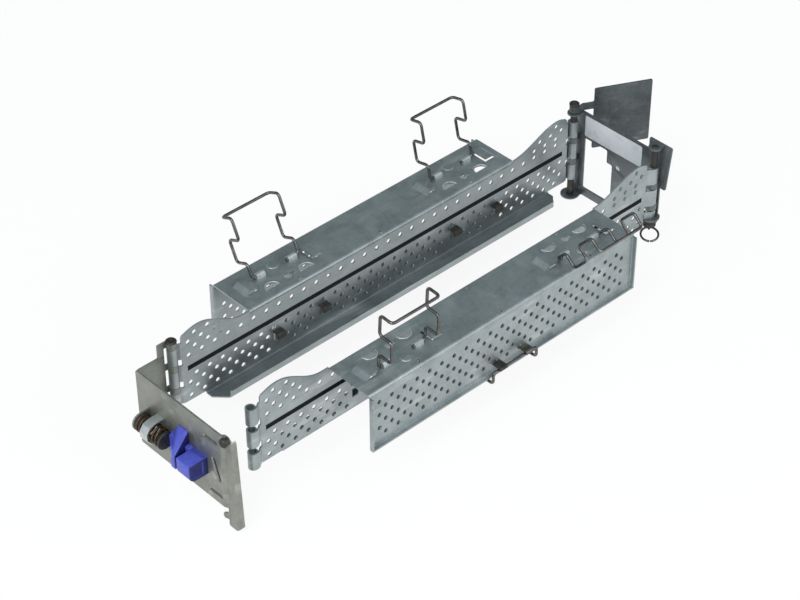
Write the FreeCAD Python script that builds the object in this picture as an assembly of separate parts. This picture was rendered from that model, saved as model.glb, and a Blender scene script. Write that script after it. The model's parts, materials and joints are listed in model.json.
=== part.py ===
import FreeCAD, Part
import math
import os
from FreeCAD import Vector

# Server cable management arm, folded up, in millimetres.
# X runs along the arms, Y from the front arm to the rear arm, Z up.
# The origin is the middle of the middle free knuckle of the front arm.

# Driving dimensions: hinge layout
ARM_LENGTH = 420.0
ARM_SPACING = 88.0
PIN_R = 2.7
RUNNING_FIT = 0.08
KNUCKLE_WALL = 1.3
KNUCKLE_H = 15.0
KNUCKLE_PITCH = 21.0

# Driving dimensions: folded arm sheet
ARM_SHEET = 1.2
BEND_R = 2.6
SPINE_TOP = 22.5
SPINE_BOTTOM = -31.5
TRAY_START = 73.0
TRAY_END_INSET = 70.0
TRAY_DEPTH = 43.5
WALL_BOTTOM = -29.5
RIM_WIDTH = 3.5
SHELF_START = 28.0
REAR_SHELF_WIDTH = 18.5
FRONT_SHELF_WIDTH = 11.5
LIP_HEIGHT = 7.0
END_CLEARANCE = 8.5
LEFT_EAR_CREST = 25.0
LEFT_EAR_RISE = 15.5
LEFT_EAR_FOOT_GAP = 7.0
RIGHT_EAR_CREST = 19.0
RIGHT_EAR_RISE = 14.5
EAR_SHOULDER = 9.5
EAR_CORNER = 3.0
BEAD_Z = 2.0
BEAD_WIDTH = 3.4
BEAD_HEIGHT = 1.6
BEAD_INSET = 13.0

# Driving dimensions: perforation
HOLE_R = 2.0
HOLE_SIDES = 4
HOLE_PITCH = 12.4
ROW_PITCH = 6.2
WALL_ROWS = 6
WALL_FIRST_ROW = 11.3
SPINE_TOP_ROW = 13.8
SPINE_LOW_ROW = -6.0
SPINE_LOW_ROWS = 4
EAR_ROWS = 4
EAR_MARGIN = 1.2

# Driving dimensions: wire bails
WIRE_R = 1.25
WIRE_BEND = 3.0
BAIL_SPAN = 46.0
BAIL_PIVOT_INSET = 17.5
BAIL_JOG = 13.0
BAIL_JOG_LOW = 12.5
BAIL_JOG_HIGH = 31.5
BAIL_HEIGHT = 50.0
BAIL_HOOK = 12.5
BAIL_FOOT = 12.5
BAIL_LEFT_INSET = 48.0
BAIL_RIGHT_INSET = 44.0
REAR_LEANS_DEG = (25.0, 13.0)
FRONT_LEANS_DEG = (3.0, 41.0)
LOWER_BAIL_SHIFT = 3.5
LOWER_BAIL_PIVOT_Y = 5.0
LOWER_BAIL_HOOK = 10.0
PIVOT_FIT = 0.1
LUG_WIDTH = 8.0
LUG_GAP = 2.0
CROSSBAR_GAP = 1.6

# Driving dimensions: formed features of the tray top
TONGUE_LENGTH = 13.0
TONGUE_WIDTH = 15.0
TONGUE_RISE = 3.0
TONGUE_GAP = 4.0
TONGUE_Y = -22.0
CRESCENT_R = 6.0
CRESCENT_Y = -9.0
KEYHOLE_R = 3.0
KEYHOLE_SLOT = 2.2
KEYHOLE_LENGTH = 7.0
KEYHOLE_Y = -12.0
DIMPLE_R = 5.0
DIMPLE_RISE = 0.8
DIMPLE_Y = -30.0
NOTCH_R = 1.6
NOTCH_PARTS = (0.19, 0.49, 0.84)

# Driving dimensions: snap catches
CATCH_WIDTH = 8.0
CATCH_SHEET = 1.2
CATCH_REACH = 5.0
CATCH_DROP = 5.0
CATCH_SIDE_STEP = 5.0
SPINE_CATCH_Z = -9.0

# Driving dimensions: rail bracket
BRACKET_SHEET = 1.5
BRACKET_OFFSET = 29.0
BRACKET_TOP = 23.0
BRACKET_BOTTOM = -46.0
BRACKET_REACH = 97.3
BRACKET_LEG_WIDTH = 12.0
BRACKET_LEG_BOTTOM = -64.0
BRACKET_HOOK = 4.0
BRACKET_RETURN = 3.0
LEG_TAPER = 4.0
LEG_STEP = 2.0
SLOT_LENGTH = 16.0
SLOT_HEIGHT = 3.2
TOP_SLOT_EDGE = 6.0
BOTTOM_SLOT_EDGE = 3.5
TOP_SLOT_Z = 11.5
BOTTOM_SLOT_Z = -38.0
SLANT_EDGE = 5.7
SLANT_WIDTH = 6.0
SLANT_HEIGHT = 19.6
STUD_R = 3.7
STUD_HEIGHT = 4.0

# Driving dimensions: latch and its spring
LATCH_LENGTH = 39.0
LATCH_BOTTOM = -24.0
LATCH_HEIGHT = 16.0
LATCH_BASE = 5.0
LATCH_HUMP = 17.0
FRONT_LOBE_LENGTH = 14.5
LOBE_ROUNDING = 6.0
REAR_LOBE_START = 20.0
REAR_LOBE_RISE = 11.0
REAR_LOBE_TIP = (16.0, 21.0)
REAR_LOBE_TIP_INSET = 3.0
SEAT_THICKNESS = 2.0
SPIGOT_R = 4.5
SPIGOT_LENGTH = 6.0
LATCH_TRAVEL = 6.0
LATCH_KEEPER = 3.0
LATCH_SLOT_H = 5.0
LATCH_CLEARANCE = 0.4
SPRING_R = 6.5
SPRING_WIRE_R = 0.9
SPRING_TURNS = 7
SPRING_LENGTH = 27.0
SPRING_RISE = 3.0
SPRING_STOP_INSET = 13.0
STRAP_WIDTH = 8.0
STRAP_CLEARANCE = 1.0

# Driving dimensions: elbow
ELBOW_SHEET = 1.5
ELBOW_OFFSET = 6.5
ELBOW_TOP = 37.0
ELBOW_BOTTOM = -46.0
ELBOW_STRIP_HALF = 7.5
FRONT_STRIP_TOP = 48.0
FRONT_STRIP_HALF = 12.0
FRONT_STRIP_BOTTOM = -23.0
FRONT_STRIP_FOOT = 5.0
FRONT_STRIP_TAPER = 4.0
LOWER_STRIP_EDGE = 2.0
WINDOW_WIDTH = 25.0
WINDOW_TOP = 12.0
WINDOW_BOTTOM = -38.0
WINDOW_STEP = 6.0
WINDOW_STEP_Z = 0.0
ELBOW_HOLE_R = 2.5
LABEL_LENGTH = 62.0
LABEL_HEIGHT = 20.0
LABEL_THICKNESS = 0.3
TAB_R = 8.0
TOP_TAB_R = 5.5
SHORT_KNUCKLE_H = 6.5
KNUCKLE_GAP_FIT = 0.3

# Driving dimensions: pull pin and stop plate
CAP_R = 6.5
CAP_H = 8.0
RING_R = 7.2
RING_WIRE_R = 0.9
RING_TILT_DEG = 75.0
RING_TURN_DEG = 47.0
STOP_START = 17.0
STOP_LENGTH = 50.0
STOP_TOP = 57.0
STOP_BOTTOM = -2.0
STOP_SWING_DEG = -27.0
STOP_KNUCKLE_H = 7.0
STOP_SHEET = 1.5
HEAD_R = 4.3
HEAD_H = 1.6
STACK_GAP = 0.3

# Derived sizes
KNUCKLE_IN = PIN_R + RUNNING_FIT
KNUCKLE_OUT = KNUCKLE_IN + KNUCKLE_WALL
KNUCKLE_CENTRES = (KNUCKLE_PITCH, 0.0, -KNUCKLE_PITCH)
TRAY_END = ARM_LENGTH - TRAY_END_INSET
TRAY_LENGTH = TRAY_END - TRAY_START
LEFT_EAR_FOOT = TRAY_START - LEFT_EAR_FOOT_GAP
SHELF_END = ARM_LENGTH - SHELF_START
BAIL_CENTRES = (TRAY_START + BAIL_LEFT_INSET, TRAY_END - BAIL_RIGHT_INSET)
BAIL_PIVOT_Y = -TRAY_DEPTH + BAIL_PIVOT_INSET
LOWER_BAIL_CENTRE = (TRAY_START + TRAY_END) / 2 + LOWER_BAIL_SHIFT
BEND_IN = BEND_R - ARM_SHEET
HALF_SHEET = ARM_SHEET / 2
WIRE_Z = SPINE_TOP + WIRE_R + PIVOT_FIT
LOWER_WIRE_Z = SPINE_BOTTOM - WIRE_R - PIVOT_FIT
TOP_KNUCKLE_TOP = KNUCKLE_PITCH + KNUCKLE_H / 2
LOW_KNUCKLE_BOTTOM = -TOP_KNUCKLE_TOP
GAP_HEIGHT = KNUCKLE_PITCH - KNUCKLE_H
GAP_CENTRES = (KNUCKLE_PITCH / 2, -KNUCKLE_PITCH / 2)
RING_LUG_H = GAP_HEIGHT - 2 * KNUCKLE_GAP_FIT
ELBOW_X = ARM_LENGTH + ELBOW_OFFSET
PLATE_X = -BRACKET_OFFSET
PLATE_REAR = ARM_SPACING + KNUCKLE_OUT
PLATE_FRONT = PLATE_REAR - BRACKET_REACH
SPRING_STOP_Y = PLATE_REAR - SPRING_STOP_INSET
LATCH_REAR_Y = SPRING_STOP_Y - SPRING_LENGTH
LATCH_FRONT_Y = LATCH_REAR_Y - LATCH_LENGTH
SHORT_KNUCKLE_TOP = -KNUCKLE_PITCH + KNUCKLE_H / 2
SHORT_KNUCKLE_BOTTOM = SHORT_KNUCKLE_TOP - SHORT_KNUCKLE_H
CAP_BOTTOM = SHORT_KNUCKLE_BOTTOM - ELBOW_SHEET - 2 * STACK_GAP - CAP_H

NODES = {}


def box(x0, y0, z0, x1, y1, z1):
    return Part.makeBox(x1 - x0, y1 - y0, z1 - z0, Vector(x0, y0, z0))


def rod(radius, x, y, z0, z1):
    return Part.makeCylinder(radius, z1 - z0, Vector(x, y, z0))


def polygon(points):
    return Part.makePolygon(points + [points[0]])


def prism(points, direction):
    """A flat outline pushed along a direction."""
    return Part.Face(polygon(points)).extrude(direction)


def yz_prism(points, x0, x1):
    outline = [Vector(x0, y, z) for y, z in points]
    return prism(outline, Vector(x1 - x0, 0, 0))


def fused(shapes):
    body = shapes[0]
    if len(shapes) > 1:
        body = body.fuse(shapes[1:])
    return body.removeSplitter()


def rounded_path(points, radius):
    """Straight runs through the points, joined by tangent arcs."""
    edges = []
    start = points[0]
    for before, corner, after in zip(points, points[1:], points[2:]):
        inward = (before - corner).normalize()
        outward = (after - corner).normalize()
        turn = math.pi - inward.getAngle(outward)
        reach = radius * math.tan(turn / 2)
        first = corner + inward * reach
        last = corner + outward * reach
        to_centre = (inward + outward).normalize()
        centre = corner + to_centre * (radius / math.cos(turn / 2))
        middle = centre - to_centre * radius
        edges.append(Part.LineSegment(start, first).toShape())
        edges.append(Part.Arc(first, middle, last).toShape())
        start = last
    edges.append(Part.LineSegment(start, points[-1]).toShape())
    return Part.Wire(edges)


def wire_rod(points, bend, radius):
    path = rounded_path(points, bend)
    direction = points[1] - points[0]
    section = Part.Wire([Part.Circle(points[0], direction, radius).toShape()])
    return path.makePipeShell([section], True, False)


def hole_outline(x, y, z, across):
    """One perforation in a plate that stands on the X axis."""
    corners = []
    for k in range(HOLE_SIDES):
        angle = 2 * math.pi * k / HOLE_SIDES
        corners.append(Vector(x + across * math.cos(angle), y, z + across * math.sin(angle)))
    return polygon(corners)


def hole_row(x_from, x_to, z, row):
    """Centres of one row, where every other row is shifted by half a pitch."""
    shift = (row % 2) * HOLE_PITCH / 2
    count = int((x_to - x_from - shift) // HOLE_PITCH) + 1
    return [(x_from + shift + HOLE_PITCH * k, z) for k in range(count)]


def perforated_plate(outline, centres, y0, thickness):
    """A sheet with its holes, from one face with inner outlines."""
    wires = [polygon([Vector(x, y0, z) for x, z in outline])]
    wires += [hole_outline(x, y0, z, HOLE_R) for x, z in centres]
    face = Part.Face(wires, "Part::FaceMakerBullseye")
    return face.extrude(Vector(0, thickness, 0))


def ear_height(x, foot, crest, rise):
    """Height of an ear's edge at a distance from the hinge line."""
    start = END_CLEARANCE + EAR_CORNER
    top = SPINE_TOP + rise
    if x < crest:
        t = max(0, (x - start) / (crest - start))
        return top - (rise - EAR_SHOULDER - EAR_CORNER) * (1 - t) ** 2
    t = min(1, (x - crest) / (foot - crest))
    return SPINE_TOP + rise * (1 + math.cos(math.pi * t)) / 2


def ear_outline(foot, crest, rise, mirrored):
    """Outline of one ear from the hinge edge up over its crest down to the tray."""
    shoulder = SPINE_TOP + EAR_SHOULDER
    points = [(END_CLEARANCE, shoulder)]
    for k in range(1, 4):
        turn = math.pi / 2 * k / 3
        x = END_CLEARANCE + EAR_CORNER * (1 - math.cos(turn))
        points.append((x, shoulder + EAR_CORNER * math.sin(turn)))
    start = END_CLEARANCE + EAR_CORNER
    stations = [start + (crest - start) * k / 3 for k in range(1, 4)]
    stations += [crest + (foot - crest) * k / 8 for k in range(1, 9)]
    points += [(x, ear_height(x, foot, crest, rise)) for x in stations]
    if mirrored:
        points = [(ARM_LENGTH - x, z) for x, z in reversed(points)]
    return points


def ear_holes(foot, crest, rise):
    """Rows of holes that fit under the ear's edge."""
    centres = []
    for row in range(1, EAR_ROWS):
        z = SPINE_TOP_ROW + ROW_PITCH * row
        for x, _ in hole_row(END_CLEARANCE + HOLE_PITCH / 2, foot - HOLE_PITCH, z, row):
            edge = min(ear_height(side, foot, crest, rise) for side in (x - HOLE_R, x + HOLE_R))
            if z + HOLE_R + EAR_MARGIN <= edge:
                centres.append((x, z))
    return centres


def spine_outline():
    bend_low = SPINE_BOTTOM + BEND_R
    left = ear_outline(LEFT_EAR_FOOT, LEFT_EAR_CREST, LEFT_EAR_RISE, False)
    right = ear_outline(TRAY_END_INSET, RIGHT_EAR_CREST, RIGHT_EAR_RISE, True)
    tray_edge = SPINE_TOP - BEND_R
    points = [(END_CLEARANCE, SPINE_BOTTOM)]
    points += left
    points += [(TRAY_START, SPINE_TOP), (TRAY_START, tray_edge), (TRAY_END, tray_edge)]
    points += right
    points += [(ARM_LENGTH - END_CLEARANCE, SPINE_BOTTOM)]
    points += [(SHELF_END, SPINE_BOTTOM), (SHELF_END, bend_low)]
    points += [(SHELF_START, bend_low), (SHELF_START, SPINE_BOTTOM)]
    return points


def spine_holes():
    edge = END_CLEARANCE + HOLE_PITCH / 2
    far = ARM_LENGTH - edge
    centres = hole_row(edge, far, SPINE_TOP_ROW, 0)
    for row in range(SPINE_LOW_ROWS):
        centres += hole_row(edge, far, SPINE_LOW_ROW - ROW_PITCH * row, row + 1)
    centres += ear_holes(LEFT_EAR_FOOT, LEFT_EAR_CREST, LEFT_EAR_RISE)
    right = ear_holes(TRAY_END_INSET, RIGHT_EAR_CREST, RIGHT_EAR_RISE)
    centres += [(ARM_LENGTH - x, z) for x, z in right]
    blocked = []
    for centre in BAIL_CENTRES:
        blocked += [centre - BAIL_SPAN / 2, centre + BAIL_SPAN / 2]
    low = SPINE_CATCH_Z + HOLE_R
    return [c for c in centres if c[1] > low or all(abs(c[0] - b) > CATCH_WIDTH for b in blocked)]


def spine(bead_side):
    """Upright web with its perforation and its long stiffening bead, pressed towards one side."""
    plate = perforated_plate(spine_outline(), spine_holes(), -HALF_SHEET, ARM_SHEET)
    x0 = BEAD_INSET
    x1 = ARM_LENGTH - BEAD_INSET
    half = BEAD_WIDTH / 2
    back = bead_side * HALF_SHEET
    depth = bead_side * BEAD_HEIGHT
    ridge = [(back, BEAD_Z - half), (back + depth, BEAD_Z), (back, BEAD_Z + half)]
    groove = [(-back, BEAD_Z - half), (-back + depth, BEAD_Z), (-back, BEAD_Z + half)]
    plate = plate.fuse(yz_prism(ridge, x0 - ARM_SHEET, x1 + ARM_SHEET))
    return plate.cut(yz_prism(groove, x0, x1))


def bend_profile(corner_y, corner_z, side_y, side_z, sheet):
    """Quarter bend of the sheet; the sides say where the bend's centre lies."""
    centre_y = corner_y + side_y * BEND_R
    centre_z = corner_z + side_z * BEND_R
    outer = []
    inner = []
    for k in range(5):
        angle = math.pi / 2 * k / 4
        across = math.cos(angle)
        upward = math.sin(angle)
        outer.append((centre_y - side_y * BEND_R * across, centre_z - side_z * BEND_R * upward))
        radius = BEND_R - sheet
        inner.append((centre_y - side_y * radius * across, centre_z - side_z * radius * upward))
    return outer + list(reversed(inner))


def pivot_lug(x0, x1, y, base, axis_z):
    """Half-round strap over a wire's foot; it stands on the sheet at base."""
    inner = WIRE_R + PIVOT_FIT
    outer = inner + ARM_SHEET
    up = 1 if axis_z > base else -1
    points = [(y + outer, base), (y + outer, axis_z)]
    points += [(y + outer * math.cos(a), axis_z + up * outer * math.sin(a)) for a in half_turn(6)]
    points += [(y - outer, base), (y - inner, base)]
    points += [(y - inner * math.cos(a), axis_z + up * inner * math.sin(a)) for a in half_turn(6, True)]
    points += [(y + inner, base)]
    return yz_prism(points, x0, x1)


def half_turn(steps, whole=False):
    if whole:
        return [math.pi * k / steps for k in range(steps + 1)]
    return [math.pi * k / steps for k in range(1, steps + 1)]


def bail_legs(centre):
    return (centre - BAIL_SPAN / 2, centre + BAIL_SPAN / 2)


def lug_places(centre):
    """X ranges of the two straps, which stand just inside the two legs."""
    left, right = bail_legs(centre)
    near = WIRE_R + LUG_GAP
    return ((left + near, left + near + LUG_WIDTH), (right - near - LUG_WIDTH, right - near))


def tongue(x_free, direction):
    """Raised tongue whose free edge faces the wire's leg."""
    low = SPINE_TOP - ARM_SHEET
    high = low + TONGUE_RISE
    x_flat = x_free + direction * TONGUE_LENGTH * 0.6
    x_root = x_free + direction * TONGUE_LENGTH
    points = [(x_free, high), (x_flat, high), (x_root, low), (x_root, low + ARM_SHEET)]
    points += [(x_flat, high + ARM_SHEET), (x_free, high + ARM_SHEET)]
    y0 = TONGUE_Y - TONGUE_WIDTH / 2
    outline = [Vector(x, y0, z) for x, z in points]
    return prism(outline, Vector(0, TONGUE_WIDTH, 0))


def half_disc(x, y, radius, steps):
    points = []
    for k in range(steps + 1):
        angle = math.pi * (1 + k / steps)
        points.append(Vector(x + radius * math.cos(angle), y + radius * math.sin(angle), 0))
    return points


def round_outline(x, y, radius, sides):
    points = []
    for k in range(sides):
        angle = 2 * math.pi * k / sides
        points.append(Vector(x + radius * math.cos(angle), y + radius * math.sin(angle), 0))
    return points


def flange_cut(points):
    low = SPINE_TOP - ARM_SHEET - 1
    outline = [Vector(p.x, p.y, low) for p in points]
    return prism(outline, Vector(0, 0, ARM_SHEET + 2))


def tray_top():
    """Top flange with both long bends, pivot straps, tongues and openings."""
    flat = box(TRAY_START, -TRAY_DEPTH + BEND_R, SPINE_TOP - ARM_SHEET, TRAY_END, HALF_SHEET - BEND_R, SPINE_TOP)
    inner_bend = yz_prism(bend_profile(HALF_SHEET, SPINE_TOP, -1, -1, ARM_SHEET), TRAY_START, TRAY_END)
    outer_bend = yz_prism(bend_profile(-TRAY_DEPTH, SPINE_TOP, 1, -1, ARM_SHEET), TRAY_START, TRAY_END)
    cuts = []
    raised = []
    for centre in BAIL_CENTRES:
        for x0, x1 in lug_places(centre):
            inner = WIRE_R + PIVOT_FIT
            slot = box(x0, BAIL_PIVOT_Y - inner, SPINE_TOP - 2, x1, BAIL_PIVOT_Y + inner, SPINE_TOP + 1)
            cuts.append(slot)
            raised.append(pivot_lug(x0, x1, BAIL_PIVOT_Y, SPINE_TOP, WIRE_Z))
        for leg, side in zip(bail_legs(centre), (-1, 1)):
            free = leg + side * TONGUE_GAP
            root = free + side * TONGUE_LENGTH
            y0 = TONGUE_Y - TONGUE_WIDTH / 2
            cuts.append(box(min(free, root), y0, SPINE_TOP - 2, max(free, root), y0 + TONGUE_WIDTH, SPINE_TOP + 1))
            raised.append(tongue(free, side))
            cuts.append(flange_cut(half_disc(leg - side * CRESCENT_R, CRESCENT_Y, CRESCENT_R, 8)))
        cuts.append(flange_cut(round_outline(centre, KEYHOLE_Y, KEYHOLE_R, 8)))
        half = KEYHOLE_SLOT / 2
        cuts.append(box(centre, KEYHOLE_Y - half, SPINE_TOP - 2, centre + KEYHOLE_LENGTH, KEYHOLE_Y + half, SPINE_TOP + 1))
        base = Vector(centre, DIMPLE_Y, SPINE_TOP)
        raised.append(Part.makeCone(DIMPLE_R, DIMPLE_R - 1, DIMPLE_RISE, base))
    for part in NOTCH_PARTS:
        x = TRAY_START + TRAY_LENGTH * part
        for y in (HALF_SHEET - BEND_R - NOTCH_R, -TRAY_DEPTH + BEND_R + NOTCH_R):
            cuts.append(flange_cut(round_outline(x, y, NOTCH_R, 6)))
    flat = flat.cut(cuts)
    return fused([flat, inner_bend, outer_bend] + raised)


def tray_wall():
    """Perforated outer wall with a rim turned outward round three edges."""
    high = SPINE_TOP - BEND_R
    outline = [(TRAY_START, WALL_BOTTOM), (TRAY_END, WALL_BOTTOM), (TRAY_END, high), (TRAY_START, high)]
    edge = RIM_WIDTH + HOLE_PITCH / 2
    centres = []
    for row in range(WALL_ROWS):
        centres += hole_row(TRAY_START + edge, TRAY_END - edge, WALL_FIRST_ROW - ROW_PITCH * row, row)
    plate = perforated_plate(outline, centres, -TRAY_DEPTH, ARM_SHEET)
    face = -TRAY_DEPTH
    bottom = box(TRAY_START, face - RIM_WIDTH, WALL_BOTTOM, TRAY_END, face, WALL_BOTTOM + ARM_SHEET)
    rims = [bottom]
    for x in (TRAY_START, TRAY_END - ARM_SHEET):
        rims.append(box(x, face - RIM_WIDTH, WALL_BOTTOM, x + ARM_SHEET, face, high - RIM_WIDTH))
    return fused([plate] + rims)


def shelf(width):
    """Narrow cable shelf under the spine with an upturned lip."""
    outer = width - HALF_SHEET
    low = SPINE_BOTTOM
    high = SPINE_BOTTOM + ARM_SHEET
    profile = bend_profile(-HALF_SHEET, low, 1, 1, ARM_SHEET)
    bend = yz_prism(profile, SHELF_START, SHELF_END)
    plate = box(SHELF_START, -HALF_SHEET + BEND_R, low, SHELF_END, outer - BEND_R, high)
    lip_bend = yz_prism(bend_profile(outer, low, -1, 1, ARM_SHEET), SHELF_START, SHELF_END)
    lip = box(SHELF_START, outer - ARM_SHEET, low + BEND_R, SHELF_END, outer, low + LIP_HEIGHT)
    lugs = []
    for x0, x1 in lug_places(LOWER_BAIL_CENTRE):
        lugs.append(pivot_lug(x0, x1, LOWER_BAIL_PIVOT_Y, low, LOWER_WIRE_Z))
    body = fused([bend, plate, lip_bend, lip] + lugs)
    chamfer = width * 0.6
    for x, side in ((SHELF_START, 1), (SHELF_END, -1)):
        corner = [Vector(x - side, outer + 1, low - 1), Vector(x + side * chamfer, outer + 1, low - 1)]
        corner.append(Vector(x - side, outer - chamfer, low - 1))
        body = body.cut(prism(corner, Vector(0, 0, LIP_HEIGHT + 2)))
    return body


def knuckle(x, z0, z1, side):
    """Curled sheet eye with the tab that joins it to the ear."""
    height = z1 - z0
    ring = rod(KNUCKLE_OUT, x, 0, z0, z1)
    tab_end = x + side * END_CLEARANCE
    tab = box(min(x, tab_end), -HALF_SHEET, z0, max(x, tab_end), HALF_SHEET, z0 + height)
    return fused([ring, tab]).cut(rod(KNUCKLE_IN, x, 0, z0 - 1, z1 + 1))


def knuckles(x, side, short_last):
    rings = []
    for centre in KNUCKLE_CENTRES:
        z0 = centre - KNUCKLE_H / 2
        z1 = centre + KNUCKLE_H / 2
        if short_last and centre < 0:
            z0 = z1 - SHORT_KNUCKLE_H
        rings.append(knuckle(x, z0, z1, side))
    return Part.makeCompound(rings)


def bail(centre, lean):
    """Upper wire bail, open by its lean from upright towards the outer wall."""
    left, right = bail_legs(centre)

    def side_points(x, inward):
        foot = x + inward * BAIL_FOOT
        places = [(foot, 0, 0), (x, 0, 0), (x, 0, BAIL_JOG_LOW), (x, BAIL_JOG, BAIL_JOG_LOW)]
        places += [(x, BAIL_JOG, BAIL_JOG_HIGH), (x, 0, BAIL_JOG_HIGH), (x, 0, BAIL_HEIGHT)]
        places.append((x, BAIL_HOOK, BAIL_HEIGHT))
        return [Vector(px, BAIL_PIVOT_Y - out, WIRE_Z + up) for px, out, up in places]

    points = side_points(left, 1) + list(reversed(side_points(right, -1)))
    wire = wire_rod(points, WIRE_BEND, WIRE_R)
    wire.rotate(Vector(0, BAIL_PIVOT_Y, WIRE_Z), Vector(1, 0, 0), lean)
    return wire


def lower_bail():
    """Lower wire bail, closed under the tray and hooked up in front of the wall."""
    left, right = bail_legs(LOWER_BAIL_CENTRE)
    front = -TRAY_DEPTH - RIM_WIDTH - WIRE_R - CROSSBAR_GAP
    top = LOWER_WIRE_Z + LOWER_BAIL_HOOK

    def side_points(x, inward):
        foot = Vector(x + inward * BAIL_FOOT, LOWER_BAIL_PIVOT_Y, LOWER_WIRE_Z)
        pivot = Vector(x, LOWER_BAIL_PIVOT_Y, LOWER_WIRE_Z)
        return [foot, pivot, Vector(x, front, LOWER_WIRE_Z), Vector(x, front, top)]

    points = side_points(left, 1) + list(reversed(side_points(right, -1)))
    return wire_rod(points, WIRE_BEND, WIRE_R)


def catch(x, face, side, z):
    """Snap hook lanced out of a plate; it opens downward."""
    reach = face + side * (CATCH_REACH + CATCH_SHEET)
    step = side * CATCH_SHEET
    points = [(face, z), (reach, z), (reach, z - CATCH_DROP), (reach - step, z - CATCH_DROP)]
    points += [(reach - step, z - CATCH_SHEET), (face, z - CATCH_SHEET)]
    return yz_prism(points, x - CATCH_WIDTH / 2, x + CATCH_WIDTH / 2)


def spine_catches():
    hooks = []
    for centre in BAIL_CENTRES:
        for x in bail_legs(centre):
            hooks.append(catch(x, HALF_SHEET, 1, SPINE_CATCH_Z))
    return Part.makeCompound(hooks)


def wall_catches():
    """Hooks on the outer wall that hold the lower bail's crossbar from above."""
    hooks = []
    face = -TRAY_DEPTH
    bar_y = -TRAY_DEPTH - RIM_WIDTH - WIRE_R - CROSSBAR_GAP
    bar_top = LOWER_WIRE_Z + LOWER_BAIL_HOOK + WIRE_R + STACK_GAP
    outer = bar_y - WIRE_R - STACK_GAP
    for x in bail_legs(LOWER_BAIL_CENTRE):
        inward = 1 if x < LOWER_BAIL_CENTRE else -1
        middle = x + inward * (CATCH_SIDE_STEP + CATCH_WIDTH / 2)
        points = [(face, bar_top + CATCH_SHEET), (outer - CATCH_SHEET, bar_top + CATCH_SHEET)]
        points += [(outer - CATCH_SHEET, bar_top - WIRE_R), (outer, bar_top - WIRE_R)]
        points += [(outer, bar_top), (face, bar_top)]
        hooks.append(yz_prism(points, middle - CATCH_WIDTH / 2, middle + CATCH_WIDTH / 2))
    return Part.makeCompound(hooks)


def build_arm(name, rear, leans, short_last):
    pieces = {
        "spine": spine(-1 if rear else 1),
        "top": tray_top(),
        "wall": tray_wall(),
        "shelf": shelf(REAR_SHELF_WIDTH if rear else FRONT_SHELF_WIDTH),
        "knuckles_left": knuckles(0, 1, False),
        "knuckles_right": knuckles(ARM_LENGTH, -1, short_last),
        "spine_catches": spine_catches(),
        "wall_catches": wall_catches(),
        "bail_left": bail(BAIL_CENTRES[0], leans[0]),
        "bail_right": bail(BAIL_CENTRES[1], leans[1]),
        "bail_lower": lower_bail(),
    }
    for key, shape in pieces.items():
        if rear:
            shape = shape.mirror(Vector(0, 0, 0), Vector(0, 1, 0))
            shape.translate(Vector(0, ARM_SPACING, 0))
        NODES[name + "_" + key] = shape


def bracket_knuckles():
    """Eyes of the bracket's leaf, between and round the arm's three knuckles."""
    spans = [(g - RING_LUG_H / 2, g + RING_LUG_H / 2) for g in GAP_CENTRES]
    spans.append((TOP_KNUCKLE_TOP + KNUCKLE_GAP_FIT, TOP_KNUCKLE_TOP + GAP_HEIGHT))
    spans.append((LOW_KNUCKLE_BOTTOM - GAP_HEIGHT, LOW_KNUCKLE_BOTTOM - KNUCKLE_GAP_FIT))
    return spans


def bracket_leaf():
    """Hinge leaf that runs off the side of its own eyes, as a curled leaf does."""
    y = ARM_SPACING
    face = PLATE_REAR - BRACKET_SHEET
    spans = bracket_knuckles()
    low = min(s[0] for s in spans)
    leaf_end = -KNUCKLE_OUT - STACK_GAP * 2
    shapes = [box(PLATE_X, face, low, leaf_end, PLATE_REAR, BRACKET_TOP)]
    for z0, z1 in spans:
        tab_top = min(z1, BRACKET_TOP)
        shapes.append(rod(KNUCKLE_OUT, 0, y, z0, z1))
        if tab_top > z0:
            shapes.append(box(leaf_end, face, z0, 0, PLATE_REAR, tab_top))
        else:
            shapes.append(box(leaf_end - GAP_HEIGHT, face, BRACKET_TOP, 0, PLATE_REAR, z1))
    eyes = fused(shapes)
    sweep = KNUCKLE_OUT + STACK_GAP
    for centre in KNUCKLE_CENTRES:
        z0 = centre - KNUCKLE_H / 2 - KNUCKLE_GAP_FIT
        z1 = centre + KNUCKLE_H / 2 + KNUCKLE_GAP_FIT
        eyes = eyes.cut(rod(sweep, 0, y, z0, z1))
    return eyes.cut(rod(KNUCKLE_IN, 0, y, low - 1, TOP_KNUCKLE_TOP + GAP_HEIGHT + 1))


def slot_yz(y0, y1, z, height):
    r = height / 2
    x0 = PLATE_X - BRACKET_SHEET - 1
    depth = BRACKET_SHEET + LEG_STEP + 2
    body = box(x0, y0 + r, z - r, x0 + depth, y1 - r, z + r)
    ends = [Part.makeCylinder(r, depth, Vector(x0, y, z), Vector(1, 0, 0)) for y in (y0 + r, y1 - r)]
    return body.fuse(ends)


def slanted_slot(y0, z0, y1, z1, width):
    """Slot through the plate whose long axis leans in the plate's plane."""
    lean = math.atan2(z1 - z0, y1 - y0)
    across_y = -math.sin(lean) * width / 2
    across_z = math.cos(lean) * width / 2
    points = [(y0 + across_y, z0 + across_z), (y1 + across_y, z1 + across_z)]
    points += [(y1 - across_y, z1 - across_z), (y0 - across_y, z0 - across_z)]
    return yz_prism(points, PLATE_X - BRACKET_SHEET - 1, PLATE_X + 1)


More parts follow.
